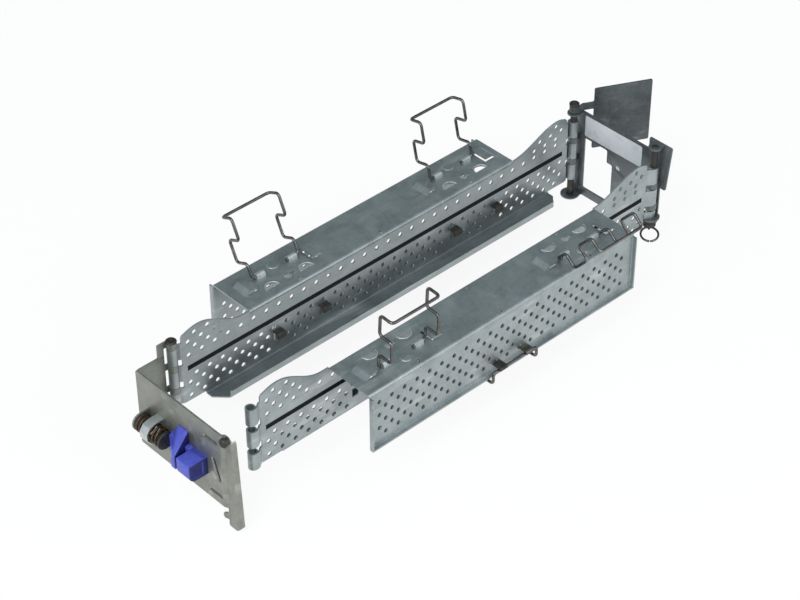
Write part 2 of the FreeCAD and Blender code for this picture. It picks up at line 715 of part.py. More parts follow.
def bracket_plate():
    """Main plate beside the rack post, with its stepped front leg and slots."""
    x0 = PLATE_X - BRACKET_SHEET
    front = PLATE_FRONT
    plate = box(x0, front, BRACKET_BOTTOM, PLATE_X, PLATE_REAR, BRACKET_TOP)
    foot = BRACKET_LEG_BOTTOM
    hook = BRACKET_HOOK
    edge = front - BRACKET_LEG_WIDTH
    high = BRACKET_TOP - hook
    slim = edge + LEG_TAPER
    leg = [(front, BRACKET_TOP), (slim + hook, BRACKET_TOP), (slim, high), (edge, foot + hook)]
    leg += [(edge + hook, foot), (front, foot + 2 * hook), (front + hook, foot + 2 * hook)]
    leg += [(front + hook, foot + 3 * hook), (front, foot + 3 * hook)]
    strip = yz_prism(leg, x0 + LEG_STEP, PLATE_X + LEG_STEP)
    step = box(x0, front, BRACKET_BOTTOM, PLATE_X + LEG_STEP, front + BRACKET_SHEET, BRACKET_TOP)
    turned_x = PLATE_X + LEG_STEP + BRACKET_RETURN
    side = [(edge, foot + hook), (slim, high), (slim + BRACKET_SHEET, high), (edge + BRACKET_SHEET, foot + hook)]
    turned = yz_prism(side, x0 + LEG_STEP, turned_x)
    body = fused([plate, strip, step, turned])
    y0 = front + TOP_SLOT_EDGE
    body = body.cut(slot_yz(y0, y0 + SLOT_LENGTH, TOP_SLOT_Z, SLOT_HEIGHT))
    y0 = front + BOTTOM_SLOT_EDGE
    body = body.cut(slot_yz(y0, y0 + SLOT_LENGTH, BOTTOM_SLOT_Z, SLOT_HEIGHT))
    body = body.cut(slanted_slot(front + SLANT_EDGE, LATCH_BOTTOM, LATCH_FRONT_Y - SLANT_WIDTH,
                                 LATCH_BOTTOM + SLANT_HEIGHT, SLANT_WIDTH))
    middle = LATCH_BOTTOM + LATCH_HEIGHT / 2
    guide = slot_yz(LATCH_FRONT_Y + LATCH_SLOT_H, LATCH_REAR_Y, middle, LATCH_SLOT_H)
    return body.cut(guide)


def bracket_stud():
    """Round stud at the upper corner of the leg."""
    x = PLATE_X - BRACKET_SHEET + LEG_STEP
    y = PLATE_FRONT - (BRACKET_LEG_WIDTH - LEG_TAPER) / 2
    centre = Vector(x, y, BRACKET_TOP - STUD_R / 2)
    return Part.makeCylinder(STUD_R, STUD_HEIGHT + LEG_STEP, centre, Vector(-1, 0, 0))


def spring_axis():
    x = PLATE_X - BRACKET_SHEET - SPRING_R - SPRING_WIRE_R - STRAP_CLEARANCE / 2
    return x, LATCH_BOTTOM + LATCH_HEIGHT / 2 + SPRING_RISE


def arch_outline(x, z, radius, foot_x):
    """Half round toward -X whose two sides run to a foot plane."""
    arc = []
    for k in range(9):
        angle = math.pi * (0.5 + k / 8)
        arc.append((x + radius * math.cos(angle), z - radius * math.sin(angle)))
    return [(foot_x, z - radius)] + arc + [(foot_x, z + radius)]


def xz_prism(points, y0, y1):
    outline = [Vector(x, y0, z) for x, z in points]
    return prism(outline, Vector(0, y1 - y0, 0))


def spring_strap():
    """Arched strap over the spring, lanced out of the plate."""
    x, z = spring_axis()
    plate = PLATE_X - BRACKET_SHEET
    inner = SPRING_R + SPRING_WIRE_R + STRAP_CLEARANCE / 2
    y0 = LATCH_REAR_Y + (SPRING_LENGTH - STRAP_WIDTH) / 2
    y1 = y0 + STRAP_WIDTH
    arch = xz_prism(arch_outline(x, z, inner + BRACKET_SHEET, plate), y0, y1)
    return arch.cut(xz_prism(arch_outline(x, z, inner, plate + 1), y0 - 1, y1 + 1))


def spring_stop():
    """Lug behind the spring, turned out of the plate."""
    x, z = spring_axis()
    radius = SPRING_R + SPRING_WIRE_R
    y0 = SPRING_STOP_Y
    lug = xz_prism(arch_outline(x, z, radius, PLATE_X - BRACKET_SHEET), y0, y0 + BRACKET_SHEET)
    return lug


def latch_front_lobe():
    """Front finger lobe, rounded along its outer lower edge."""
    x1 = PLATE_X - BRACKET_SHEET
    high = x1 - LATCH_HUMP
    z0 = LATCH_BOTTOM
    z1 = z0 + LATCH_HEIGHT
    centre_x = high + LOBE_ROUNDING
    centre_z = z0 + LOBE_ROUNDING
    arc = []
    for k in range(7):
        angle = math.pi / 2 * k / 6
        arc.append((centre_x - LOBE_ROUNDING * math.sin(angle), centre_z - LOBE_ROUNDING * math.cos(angle)))
    outline = [(x1, z0)] + arc + [(high, z1), (x1, z1)]
    return xz_prism(outline, LATCH_FRONT_Y, LATCH_FRONT_Y + FRONT_LOBE_LENGTH)


def latch_rear_lobe():
    """Rear finger lobe, a taller block that narrows to a slanted tip."""
    x1 = PLATE_X - BRACKET_SHEET
    y0 = LATCH_FRONT_Y
    top = LATCH_BOTTOM + LATCH_HEIGHT
    inset = REAR_LOBE_TIP_INSET

    def section(x, near, far, low, high):
        corners = [Vector(x, near, low), Vector(x, far, low), Vector(x, far, high), Vector(x, near, high)]
        return polygon(corners)

    root = section(x1, y0 + REAR_LOBE_START, LATCH_REAR_Y, LATCH_BOTTOM, top + REAR_LOBE_RISE)
    tip = section(x1 - LATCH_HUMP, y0 + REAR_LOBE_TIP[0], y0 + REAR_LOBE_TIP[1], LATCH_BOTTOM + inset, top)
    return Part.makeLoft([root, tip], True, True)


def latch():
    """Sliding latch: two finger lobes on a base, a spring seat, and a keeper behind the plate."""
    x1 = PLATE_X - BRACKET_SHEET
    y0 = LATCH_FRONT_Y
    y1 = LATCH_REAR_Y
    z0 = LATCH_BOTTOM
    z1 = z0 + LATCH_HEIGHT
    base = box(x1 - LATCH_BASE, y0, z0, x1, y1, z1)
    axis_x, axis_z = spring_axis()
    along = Vector(0, 1, 0)
    seat_start = Vector(axis_x, y1 - SEAT_THICKNESS, axis_z)
    seat = Part.makeCylinder(SPRING_R + SPRING_WIRE_R, SEAT_THICKNESS, seat_start, along)
    spigot = Part.makeCylinder(SPIGOT_R, SEAT_THICKNESS + SPIGOT_LENGTH, seat_start, along)
    middle = (z0 + z1) / 2
    neck_half = LATCH_SLOT_H / 2 - LATCH_CLEARANCE
    end_gap = LATCH_CLEARANCE + LATCH_SLOT_H / 2
    neck_y0 = y0 + LATCH_SLOT_H + end_gap
    neck_y1 = y1 - LATCH_TRAVEL - end_gap
    keep_x = PLATE_X + LATCH_CLEARANCE
    neck = box(x1, neck_y0, middle - neck_half, keep_x, neck_y1, middle + neck_half)
    keeper = box(keep_x, neck_y0, middle - LATCH_SLOT_H, keep_x + LATCH_KEEPER, neck_y1, middle + LATCH_SLOT_H)
    return fused([base, latch_front_lobe(), latch_rear_lobe(), seat, spigot, neck, keeper])


def latch_spring():
    """Coil spring between the latch and the stop lug."""
    x, z = spring_axis()
    start = LATCH_REAR_Y + SPRING_WIRE_R
    length = SPRING_LENGTH - 2 * SPRING_WIRE_R
    pitch = length / SPRING_TURNS
    helix = Part.makeHelix(pitch, length, SPRING_R)
    corners = []
    for k in range(6):
        angle = 2 * math.pi * k / 6
        corners.append(Vector(SPRING_R + SPRING_WIRE_R * math.cos(angle), 0, SPRING_WIRE_R * math.sin(angle)))
    coil = Part.Wire(helix).makePipeShell([polygon(corners)], True, True)
    coil.rotate(Vector(0, 0, 0), Vector(1, 0, 0), -90)
    coil.translate(Vector(x, start, z))
    return coil


def hinge_pin(x, y, low, high):
    """Pin with a head on top and a peened end below."""
    shank = rod(PIN_R, x, y, low - HEAD_H, high)
    head = rod(HEAD_R, x, y, high, high + HEAD_H)
    peen = rod(PIN_R + 0.6, x, y, low - HEAD_H, low)
    return fused([shank, head, peen])


def elbow_web():
    """Upright sheet between both hinges, with its stepped window."""
    x0 = ELBOW_X
    rear = ARM_SPACING + ELBOW_STRIP_HALF
    window_rear = ARM_SPACING - ELBOW_STRIP_HALF
    window_front = window_rear - WINDOW_WIDTH
    outline = [(rear, ELBOW_BOTTOM), (rear, ELBOW_TOP), (FRONT_STRIP_HALF, ELBOW_TOP)]
    outline += [(FRONT_STRIP_HALF, FRONT_STRIP_TOP), (-FRONT_STRIP_HALF, FRONT_STRIP_TOP)]
    outline += [(-FRONT_STRIP_HALF + FRONT_STRIP_TAPER, FRONT_STRIP_FOOT), (-LOWER_STRIP_EDGE, FRONT_STRIP_FOOT)]
    outline += [(-LOWER_STRIP_EDGE, FRONT_STRIP_BOTTOM), (FRONT_STRIP_HALF, FRONT_STRIP_BOTTOM)]
    outline += [(window_front - WINDOW_WIDTH, ELBOW_BOTTOM)]
    window = [(window_rear, WINDOW_BOTTOM), (window_rear, WINDOW_TOP), (window_front, WINDOW_TOP)]
    window += [(window_front, WINDOW_STEP_Z), (window_front - WINDOW_STEP, WINDOW_STEP_Z)]
    window += [(window_front - WINDOW_STEP, WINDOW_BOTTOM)]
    web = yz_prism(outline, x0, x0 + ELBOW_SHEET)
    web = web.cut(yz_prism(window, x0 - 1, x0 + ELBOW_SHEET + 1))
    hole_y = window_front - 2 * WINDOW_STEP
    hole = Part.makeCylinder(ELBOW_HOLE_R, ELBOW_SHEET + 2, Vector(x0 - 1, hole_y, 0), Vector(1, 0, 0))
    return web.cut(hole)


def elbow_tab(y, z, radius, front_edge, rear_edge):
    """Horizontal tab with a rounded end round the pin."""
    x = ARM_LENGTH
    disc = rod(radius, x, y, z, z + ELBOW_SHEET)
    bridge = box(x, y - front_edge, z, ELBOW_X, y + rear_edge, z + ELBOW_SHEET)
    reach = box(x - radius, y - radius, z, ELBOW_X, y + radius, z + ELBOW_SHEET)
    return fused([disc, bridge]).common(reach)


def elbow_ring(y, z0, z1):
    x = ARM_LENGTH
    ring = rod(KNUCKLE_OUT, x, y, z0, z1)
    tab = box(x, y - ELBOW_SHEET / 2, z0, ELBOW_X, y + ELBOW_SHEET / 2, z1)
    return fused([ring, tab])


def elbow_lugs(y, top, bottom, low_edge):
    """Two outer tabs and the eyes between the arm's knuckles, in one hinge line."""
    top_edge = TOP_TAB_R - 1
    lugs = [elbow_tab(y, top, TOP_TAB_R, top_edge, top_edge), elbow_tab(y, bottom, TAB_R, low_edge, TAB_R - 1)]
    for centre in GAP_CENTRES:
        lugs.append(elbow_ring(y, centre - RING_LUG_H / 2, centre + RING_LUG_H / 2))
    bore = rod(KNUCKLE_IN, ARM_LENGTH, y, bottom - 1, top + ELBOW_SHEET + 1)
    return Part.makeCompound([lug.cut(bore) for lug in lugs])


def elbow_label():
    """Bare label on the bar over the window."""
    rear = ARM_SPACING - ELBOW_STRIP_HALF
    middle = (WINDOW_TOP + ELBOW_TOP) / 2
    z0 = middle - LABEL_HEIGHT / 2
    x0 = ELBOW_X - LABEL_THICKNESS
    return box(x0, rear - LABEL_LENGTH, z0, ELBOW_X, rear, z0 + LABEL_HEIGHT)


def pull_pin():
    """Removable pin of the front hinge."""
    return rod(PIN_R, ARM_LENGTH, 0, CAP_BOTTOM + CAP_H / 2, FRONT_STRIP_TOP + STACK_GAP)


def pin_cap():
    top = CAP_BOTTOM + CAP_H
    cap = rod(CAP_R, ARM_LENGTH, 0, CAP_BOTTOM, top)
    return cap.cut(rod(PIN_R, ARM_LENGTH, 0, CAP_BOTTOM + CAP_H / 2, top + 1))


def ring_pivot():
    return Vector(ARM_LENGTH, 0, CAP_BOTTOM - 2 * RING_WIRE_R - STACK_GAP)


def turned_round_pin(shape):
    """Turns the ring and its eye round the pin, so that the ring lies off one corner."""
    shape.rotate(Vector(ARM_LENGTH, 0, 0), Vector(0, 0, 1), RING_TURN_DEG)
    return shape


def cap_eye():
    """Small eye under the cap that carries the pull ring."""
    pivot = ring_pivot()
    outer = 2 * RING_WIRE_R + STACK_GAP
    eye = Part.makeCylinder(outer, 2 * RING_WIRE_R, pivot - Vector(0, RING_WIRE_R, 0), Vector(0, 1, 0))
    stem = box(pivot.x - RING_WIRE_R, -RING_WIRE_R, pivot.z, pivot.x + RING_WIRE_R, RING_WIRE_R,
               pivot.z + 2 * RING_WIRE_R + STACK_GAP)
    hole = Part.makeCylinder(RING_WIRE_R + STACK_GAP, 4 * RING_WIRE_R, pivot - Vector(0, 2 * RING_WIRE_R, 0),
                             Vector(0, 1, 0))
    return turned_round_pin(fused([eye, stem]).cut(hole))


def pull_ring():
    pivot = ring_pivot()
    ring = Part.makeTorus(RING_R, RING_WIRE_R, pivot - Vector(0, 0, RING_R), Vector(1, 0, 0))
    ring.rotate(pivot, Vector(0, 1, 0), RING_TILT_DEG)
    return turned_round_pin(ring)


def stop_plate():
    """Plain plate that swings on the rear hinge pin, above the elbow's top tab."""
    y = ARM_SPACING
    z0 = ELBOW_TOP + STACK_GAP
    z1 = z0 + STOP_KNUCKLE_H
    half = STOP_SHEET / 2
    x = ARM_LENGTH
    eye = rod(KNUCKLE_OUT, x, y, z0, z1)
    strap = box(x, y - half, z0, x + STOP_START, y + half, z1)
    plate = box(x + STOP_START, y - half, STOP_BOTTOM, x + STOP_START + STOP_LENGTH, y + half, STOP_TOP)
    body = fused([eye, strap, plate]).cut(rod(KNUCKLE_IN, x, y, z0 - 1, z1 + 1))
    body.rotate(Vector(x, y, 0), Vector(0, 0, 1), STOP_SWING_DEG)
    return body


def build_hinges():
    eye_spans = bracket_knuckles()
    NODES["bracket_plate"] = bracket_plate()
    NODES["bracket_leaf"] = bracket_leaf()
    NODES["bracket_stud"] = bracket_stud()
    NODES["bracket_strap"] = spring_strap()
    NODES["bracket_stop"] = spring_stop()
    NODES["bracket_pin"] = hinge_pin(0, ARM_SPACING, min(s[0] for s in eye_spans), max(s[1] for s in eye_spans))
    NODES["latch_slide"] = latch()
    NODES["latch_spring"] = latch_spring()
    NODES["elbow_web"] = elbow_web()
    NODES["elbow_lugs_rear"] = elbow_lugs(ARM_SPACING, ELBOW_TOP - ELBOW_SHEET, ELBOW_BOTTOM, TAB_R - 1)
    NODES["elbow_lugs_front"] = elbow_lugs(0, FRONT_STRIP_TOP - ELBOW_SHEET,
                                           SHORT_KNUCKLE_BOTTOM - STACK_GAP - ELBOW_SHEET, LOWER_STRIP_EDGE)
    NODES["elbow_label"] = elbow_label()
    NODES["elbow_pin"] = hinge_pin(ARM_LENGTH, ARM_SPACING, ELBOW_BOTTOM, ELBOW_TOP + 2 * STACK_GAP + STOP_KNUCKLE_H)
    NODES["pull_pin"] = pull_pin()
    NODES["pin_cap"] = pin_cap()
    NODES["cap_eye"] = cap_eye()
    NODES["pull_ring"] = pull_ring()
    NODES["stop_plate"] = stop_plate()


def main():
    build_arm("front", False, FRONT_LEANS_DEG, True)
    build_arm("rear", True, REAR_LEANS_DEG, False)
    build_hinges()
    os.makedirs("parts", exist_ok=True)
    for name, shape in NODES.items():
        shape.exportStep("parts/" + name + ".step")
        box_size = shape.BoundBox
        print(name, len(shape.Solids), shape.isValid(), round(shape.Volume),
              [round(v, 1) for v in (box_size.XMin, box_size.YMin, box_size.ZMin)],
              [round(v, 1) for v in (box_size.XMax, box_size.YMax, box_size.ZMax)])


main()
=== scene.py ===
# %% [markdown]
# # A folding cable management arm for a rack server
# The arm is folded sheet steel: two long perforated trays, a rail bracket with a
# sliding latch, and an elbow that joins the trays. The construction model is the
# frame. This lesson dresses it piece by piece in Blender. Lengths are written in
# millimetres and turned into metres once, because the frame is in metres.

# %% Load the frame
import json
import math
import bpy
from mathutils import Matrix, Vector


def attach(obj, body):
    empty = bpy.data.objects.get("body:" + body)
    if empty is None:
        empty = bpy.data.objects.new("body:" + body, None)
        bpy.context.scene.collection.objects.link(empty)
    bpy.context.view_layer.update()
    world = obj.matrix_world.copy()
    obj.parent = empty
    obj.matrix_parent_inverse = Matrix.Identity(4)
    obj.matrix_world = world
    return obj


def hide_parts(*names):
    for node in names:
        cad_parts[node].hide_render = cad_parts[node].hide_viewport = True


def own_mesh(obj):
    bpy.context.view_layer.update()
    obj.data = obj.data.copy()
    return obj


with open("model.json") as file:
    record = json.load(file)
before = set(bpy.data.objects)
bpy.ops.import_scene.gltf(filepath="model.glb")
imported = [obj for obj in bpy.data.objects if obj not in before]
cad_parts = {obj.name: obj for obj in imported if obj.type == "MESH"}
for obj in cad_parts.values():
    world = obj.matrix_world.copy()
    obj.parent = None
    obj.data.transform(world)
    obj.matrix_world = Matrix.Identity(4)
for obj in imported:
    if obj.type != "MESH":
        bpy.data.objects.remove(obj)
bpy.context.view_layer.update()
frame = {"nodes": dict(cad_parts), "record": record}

MM = 0.001

# %% [markdown]
# ## Small helpers
# An operator works on all that is selected, so each step first clears the
# selection and then picks what it needs. Faces, edges and corners are picked in
# code by where they lie, which is what the eye does by hand.

# %% Selecting helpers
def clear():
    """Back to object mode with nothing selected."""
    if bpy.context.mode != "OBJECT":
        bpy.ops.object.mode_set(mode="OBJECT")
    bpy.ops.object.select_all(action="DESELECT")


def take(obj):
    clear()
    obj.select_set(True)
    bpy.context.view_layer.objects.active = obj


def open_up(obj):
    """Edit mode with all of obj selected."""
    take(obj)
    bpy.ops.object.mode_set(mode="EDIT")
    bpy.ops.mesh.select_all(action="SELECT")


def choose(obj, kind, test):
    """Edit mode with the corners, edges or faces selected that pass the test."""
    take(obj)
    bpy.ops.object.mode_set(mode="EDIT")
    bpy.ops.mesh.select_mode(type=kind)
    bpy.ops.mesh.select_all(action="DESELECT")
    bpy.ops.object.mode_set(mode="OBJECT")
    mesh = obj.data
    if kind == "FACE":
        for face in mesh.polygons:
            face.select = test(face.center / MM, face.normal)
    elif kind == "EDGE":
        for edge in mesh.edges:
            a, b = (mesh.vertices[i].co / MM for i in edge.vertices)
            edge.select = test(a, b)
    else:
        for vertex in mesh.vertices:
            vertex.select = test(vertex.co / MM)
    bpy.ops.object.mode_set(mode="EDIT")


# %% Shaping helpers
def pull(x, y, z):
    """Extrudes what is selected and moves it, in millimetres."""
    bpy.ops.mesh.extrude_region_move(TRANSFORM_OT_translate={"value": (x * MM, y * MM, z * MM)})


def shift(x, y, z):
    """Moves what is selected, in millimetres."""
    bpy.ops.transform.translate(value=(x * MM, y * MM, z * MM))


def moved(x, y, z):
    """The matrix of a move in millimetres."""
    return Matrix.Translation((x * MM, y * MM, z * MM))


def settle():
    """Puts the selected object's place, turn and scale into its mesh."""
    bpy.ops.object.transform_apply(location=True, rotation=True, scale=True)


def use(obj, kind, **values):
    """Adds a modifier, sets it and applies it."""
    take(obj)
    modifier = obj.modifiers.new(kind.title(), kind)
    for key, value in values.items():
        setattr(modifier, key, value)
    bpy.ops.object.modifier_apply(modifier=modifier.name)


def outward(obj):
    """Merges the doubles and turns every face outwards."""
    open_up(obj)
    bpy.ops.mesh.remove_doubles(threshold=0.002 * MM)
    bpy.ops.mesh.normals_make_consistent(inside=False)
    bpy.ops.object.mode_set(mode="OBJECT")
    return obj


def thicken(obj, thickness, even=False):
    """Gives a skin its wall, half on each side."""
    outward(obj)
    use(obj, "SOLIDIFY", thickness=thickness * MM, offset=0, use_even_offset=even)
    return outward(obj)


def close_ends(obj):
    """Fills the open ends of a tube."""
    choose(obj, "EDGE", lambda a, b: False)
    bpy.ops.mesh.select_non_manifold()
    bpy.ops.mesh.edge_face_add()
    return outward(obj)


def soften(obj, width, segments=2):
    """Breaks the sharp edges, as tumbling or a mould radius does."""
    use(obj, "BEVEL", width=width * MM, segments=segments, limit_method="ANGLE",
        angle_limit=math.radians(35), use_clamp_overlap=True)
    return outward(obj)


def join(name, parts):
    clear()
    for part in parts:
        part.select_set(True)
    bpy.context.view_layer.objects.active = parts[0]
    if len(parts) > 1:
        bpy.ops.object.join()
    joined = bpy.context.view_layer.objects.active
    joined.name = name
    return joined


def cut(obj, tools, operation="DIFFERENCE"):
    """Takes the tools' shape out of obj, or keeps only what they share."""
    tool = join("tools", tools)
    use(obj, "BOOLEAN", object=tool, operation=operation, solver="EXACT")
    bpy.data.objects.remove(tool)


# %% Finishing helpers
def dress(obj, body, material, nodes, smooth=30):
    """Finishes a piece: shading, finish, the body it rides on, the solids it stands for."""
    take(obj)
    settle()
    bpy.ops.object.shade_smooth_by_angle(angle=math.radians(smooth))
    obj.data.materials.clear()
    obj.data.materials.append(MATERIALS[material])
    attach(obj, body)
    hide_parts(*nodes)
    print(obj.name, len(obj.data.polygons), "faces on", body)


def second_finish(obj, material, test):
    """Gives the faces that pass the test another material."""
    obj.data.materials.append(MATERIALS[material])
    for face in obj.data.polygons:
        if test(face.center / MM, face.normal):
            face.material_index = 1


# %% Solids to start from
def block(name, low, high):
    """A block between two corners in millimetres; always shaped further."""
    clear()
    bpy.ops.mesh.primitive_cube_add(size=1)
    obj = bpy.context.object
    obj.name = name
    obj.scale = [(b - a) * MM for a, b in zip(low, high)]
    obj.location = [(a + b) / 2 * MM for a, b in zip(low, high)]
    settle()
    return obj


def rod(name, radius, middle, length, axis="Z", sides=32):
    """A round bar along an axis; always shaped further."""
    clear()
    turn = {"X": (0, math.pi / 2, 0), "Y": (math.pi / 2, 0, 0), "Z": (0, 0, 0)}[axis]
    bpy.ops.mesh.primitive_cylinder_add(vertices=sides, radius=radius * MM, depth=length * MM,
                                        location=Vector(middle) * MM, rotation=turn)
    obj = bpy.context.object
    obj.name = name
    settle()
    return obj


# %% Lines, plates and turned pieces
def draw_line(name, points):
    """Pulls one corner from point to point and leaves the line selected in edit mode."""
    clear()
    bpy.ops.mesh.primitive_plane_add(size=1)
    obj = bpy.context.object
    obj.name = name
    choose(obj, "VERT", lambda co: co.x > 0 or co.y > 0)
    bpy.ops.mesh.delete(type="VERT")
    bpy.ops.mesh.select_all(action="SELECT")
    bpy.ops.transform.translate(value=Vector((0.5, 0.5, 0)) + Vector(points[0]) * MM)
    for a, b in zip(points, points[1:]):
        step = (Vector(b) - Vector(a)) * MM
        bpy.ops.mesh.extrude_vertices_move(TRANSFORM_OT_translate={"value": step})
    bpy.ops.mesh.select_all(action="SELECT")
    return obj


def draw_plate(name, outline, axis, start, depth):
    """An outline square to an axis, filled and pulled along that axis."""
    k = "XYZ".index(axis)
    obj = draw_line(name, [(*point[:k], start, *point[k:]) for point in outline])
    bpy.ops.mesh.edge_face_add()
    pull(*(depth if axis == letter else 0 for letter in "XYZ"))
    return outward(obj)


def turned(name, profile, place, axis="Z", steps=36, sweep=360):
    """A profile of (radius, height) points, spun round an axis like work in a lathe."""
    obj = draw_line(name, [(radius, 0, height) for radius, height in profile])
    bpy.ops.mesh.spin(steps=steps, angle=math.radians(sweep), center=(0, 0, 0), axis=(0, 0, 1))
    bpy.ops.object.mode_set(mode="OBJECT")
    turn = {"X": Matrix.Rotation(math.pi / 2, 4, "Y"), "Y": Matrix.Rotation(-math.pi / 2, 4, "X"),
            "Z": Matrix.Identity(4)}[axis]
    obj.data.transform(moved(*place) @ turn)
    return outward(obj)


# %% Outlines
def arc_points(x, y, radius, start, end, steps=6):
    angles = [math.radians(start + (end - start) * k / steps) for k in range(steps + 1)]
    return [(x + radius * math.cos(a), y + radius * math.sin(a)) for a in angles]


def rounded(points, radius, steps=4):
    """The same outline with each corner replaced by a small arc."""
    result = []
    for k, corner in enumerate(points):
        here = Vector(corner)
        before = Vector(points[k - 1]) - here
        after = Vector(points[(k + 1) % len(points)]) - here
        reach = min(radius, before.length * 0.45, after.length * 0.45)
        a = here + before.normalized() * reach
        b = here + after.normalized() * reach
        for step in range(steps + 1):
            t = step / steps
            result.append(tuple(a * (1 - t) ** 2 + here * 2 * t * (1 - t) + b * t * t))
    return result


def box_points(y0, z0, y1, z1):
    return [(y0, z0), (y1, z0), (y1, z1), (y0, z1)]


def stadium(y0, z0, y1, z1, width):
    """Outline of a slot with round ends between two end centres."""
    lean = math.degrees(math.atan2(z1 - z0, y1 - y0))
    return (arc_points(y0, z0, width / 2, lean + 90, lean + 270)
            + arc_points(y1, z1, width / 2, lean - 90, lean + 90))


# %% [markdown]
# ## Finishes
# Zinc plating on steel has a soft cloudy grain, fine rolling lines along the sheet
# and small bright scuffs. The same effects, at other sizes, serve the bracket, the
# wire and the dark pins, so each effect is a node group that is built once. Every
# pattern reads Object coordinates, because each piece keeps its place in its mesh.

# %% Node helpers
def feed(tree, socket, value):
    """Links an output to a socket, or sets the socket to a plain value."""
    if isinstance(value, bpy.types.NodeSocket):
        tree.links.new(value, socket)
    else:
        socket.default_value = value


def add(tree, kind, *first, **values):
    """A node, fed in the order of its sockets or by name; other names are settings."""
    node = tree.nodes.new(kind)
    for key, value in values.items():
        label = key.replace("_", " ")
        if label in node.inputs:
            feed(tree, node.inputs[label], value)
        else:
            setattr(node, key, value)
    for socket, value in zip(node.inputs, first):
        feed(tree, socket, value)
    return node


def ramp(tree, source, low, high):
    """Spreads a value between two stops to 0 and 1."""
    return add(tree, "ShaderNodeMapRange", Value=source, From_Min=low, From_Max=high).outputs[0]


def math_node(tree, operation, first, second):
    return add(tree, "ShaderNodeMath", first, second, operation=operation).outputs[0]


def mix(tree, mask, first, second):
    """The first colour where the mask is 0, the second where it is 1."""
    node = add(tree, "ShaderNodeMix", data_type="RGBA", Factor=mask, A=first, B=second)
    return node.outputs["Result"]


def new_group(name, inputs, outputs):
    group = bpy.data.node_groups.new(name, "ShaderNodeTree")
    for label, kind, value in inputs:
        socket = group.interface.new_socket(label, in_out="INPUT", socket_type=kind)
        if value is not None:
            socket.default_value = value
    for label in outputs:
        group.interface.new_socket(label, in_out="OUTPUT", socket_type="NodeSocketFloat")
    source = group.nodes.new("NodeGroupInput")
    sink = group.nodes.new("NodeGroupOutput")
    return group, source.outputs, sink.inputs


# %% Cloudy grain with rolling lines
def build_plating_group():
    group, source, sink = new_group(
        "plated grain",
        [("Vector", "NodeSocketVector", None), ("Cloud Scale", "NodeSocketFloat", 60.0),
         ("Line Scale", "NodeSocketFloat", 900.0), ("Line Amount", "NodeSocketFloat", 0.3)],
        ["Shade", "Roughness Shift", "Height"])
    place = source["Vector"]
    cloud = add(group, "ShaderNodeTexNoise", Vector=place, Scale=source["Cloud Scale"],
                Detail=5.0, Roughness=0.62, Distortion=0.4)
    crystal = add(group, "ShaderNodeTexVoronoi", Vector=place, Scale=420.0)
    stretch = add(group, "ShaderNodeMapping", Vector=place, Scale=(0.03, 1.0, 1.0))
    lines = add(group, "ShaderNodeTexNoise", Vector=stretch.outputs["Vector"],
                Scale=source["Line Scale"], Detail=3.0)
    clouds = ramp(group, cloud.outputs["Fac"], 0.3, 0.7)
    grain = math_node(group, "MULTIPLY", lines.outputs["Fac"], source["Line Amount"])
    facets = math_node(group, "MULTIPLY", crystal.outputs["Color"], 0.18)
    fine = math_node(group, "ADD", grain, facets)
    shade = math_node(group, "ADD", math_node(group, "MULTIPLY", clouds, 0.6), fine)
    dull = math_node(group, "ADD", math_node(group, "MULTIPLY", clouds, 0.12),
                     math_node(group, "MULTIPLY", facets, 0.4))
    for label, value in (("Shade", shade), ("Roughness Shift", dull), ("Height", fine)):
        feed(group, sink[label], value)
    return group


PLATING = build_plating_group()

# %% Scuffs and handling marks
def build_scuff_group():
    group, source, sink = new_group(
        "handling scuffs",
        [("Vector", "NodeSocketVector", None), ("Scale", "NodeSocketFloat", 120.0),
         ("Amount", "NodeSocketFloat", 0.5)], ["Mask"])
    place = source["Vector"]
    patches = add(group, "ShaderNodeTexNoise", Vector=place, Scale=22.0, Detail=2.0)
    slant = add(group, "ShaderNodeMapping", Vector=place, Rotation=(0.4, 0.7, 0.5),
                Scale=(0.12, 1.0, 1.0))
    marks = add(group, "ShaderNodeTexNoise", Vector=slant.outputs["Vector"],
                Scale=source["Scale"], Detail=4.0)
    mask = math_node(group, "MULTIPLY", ramp(group, patches.outputs["Fac"], 0.48, 0.62),
                     ramp(group, marks.outputs["Fac"], 0.56, 0.66))
    feed(group, sink["Mask"], math_node(group, "MULTIPLY", mask, source["Amount"]))
    return group


SCUFFS = build_scuff_group()

# %% Build the materials
MATERIALS = {}


def finish(name, dark, light, scuff, metallic, rough, cloud, lines,
           line_amount=0.3, scuffs=0.5, bump=0.25, specular=0.5):
    """One material: two tones mixed by the grain, scuffs on top, roughness and a fine bump."""
    material = bpy.data.materials.new(name)
    material.use_nodes = True
    tree = material.node_tree
    place = add(tree, "ShaderNodeTexCoord").outputs["Object"]
    grain = add(tree, "ShaderNodeGroup", node_tree=PLATING, Vector=place, Cloud_Scale=cloud,
                Line_Scale=lines, Line_Amount=line_amount).outputs
    marks = add(tree, "ShaderNodeGroup", node_tree=SCUFFS, Vector=place, Amount=scuffs)
    tones = mix(tree, grain["Shade"], (*dark, 1), (*light, 1))
    relief = add(tree, "ShaderNodeBump", Strength=bump, Distance=0.0002, Height=grain["Height"])
    for label, value in (
            ("Base Color", mix(tree, marks.outputs["Mask"], tones, (*scuff, 1))),
            ("Roughness", math_node(tree, "ADD", grain["Roughness Shift"], rough)),
            ("Normal", relief.outputs["Normal"]),
            ("Metallic", metallic), ("Specular IOR Level", specular)):
        feed(tree, tree.nodes["Principled BSDF"].inputs[label], value)
    MATERIALS[name] = material


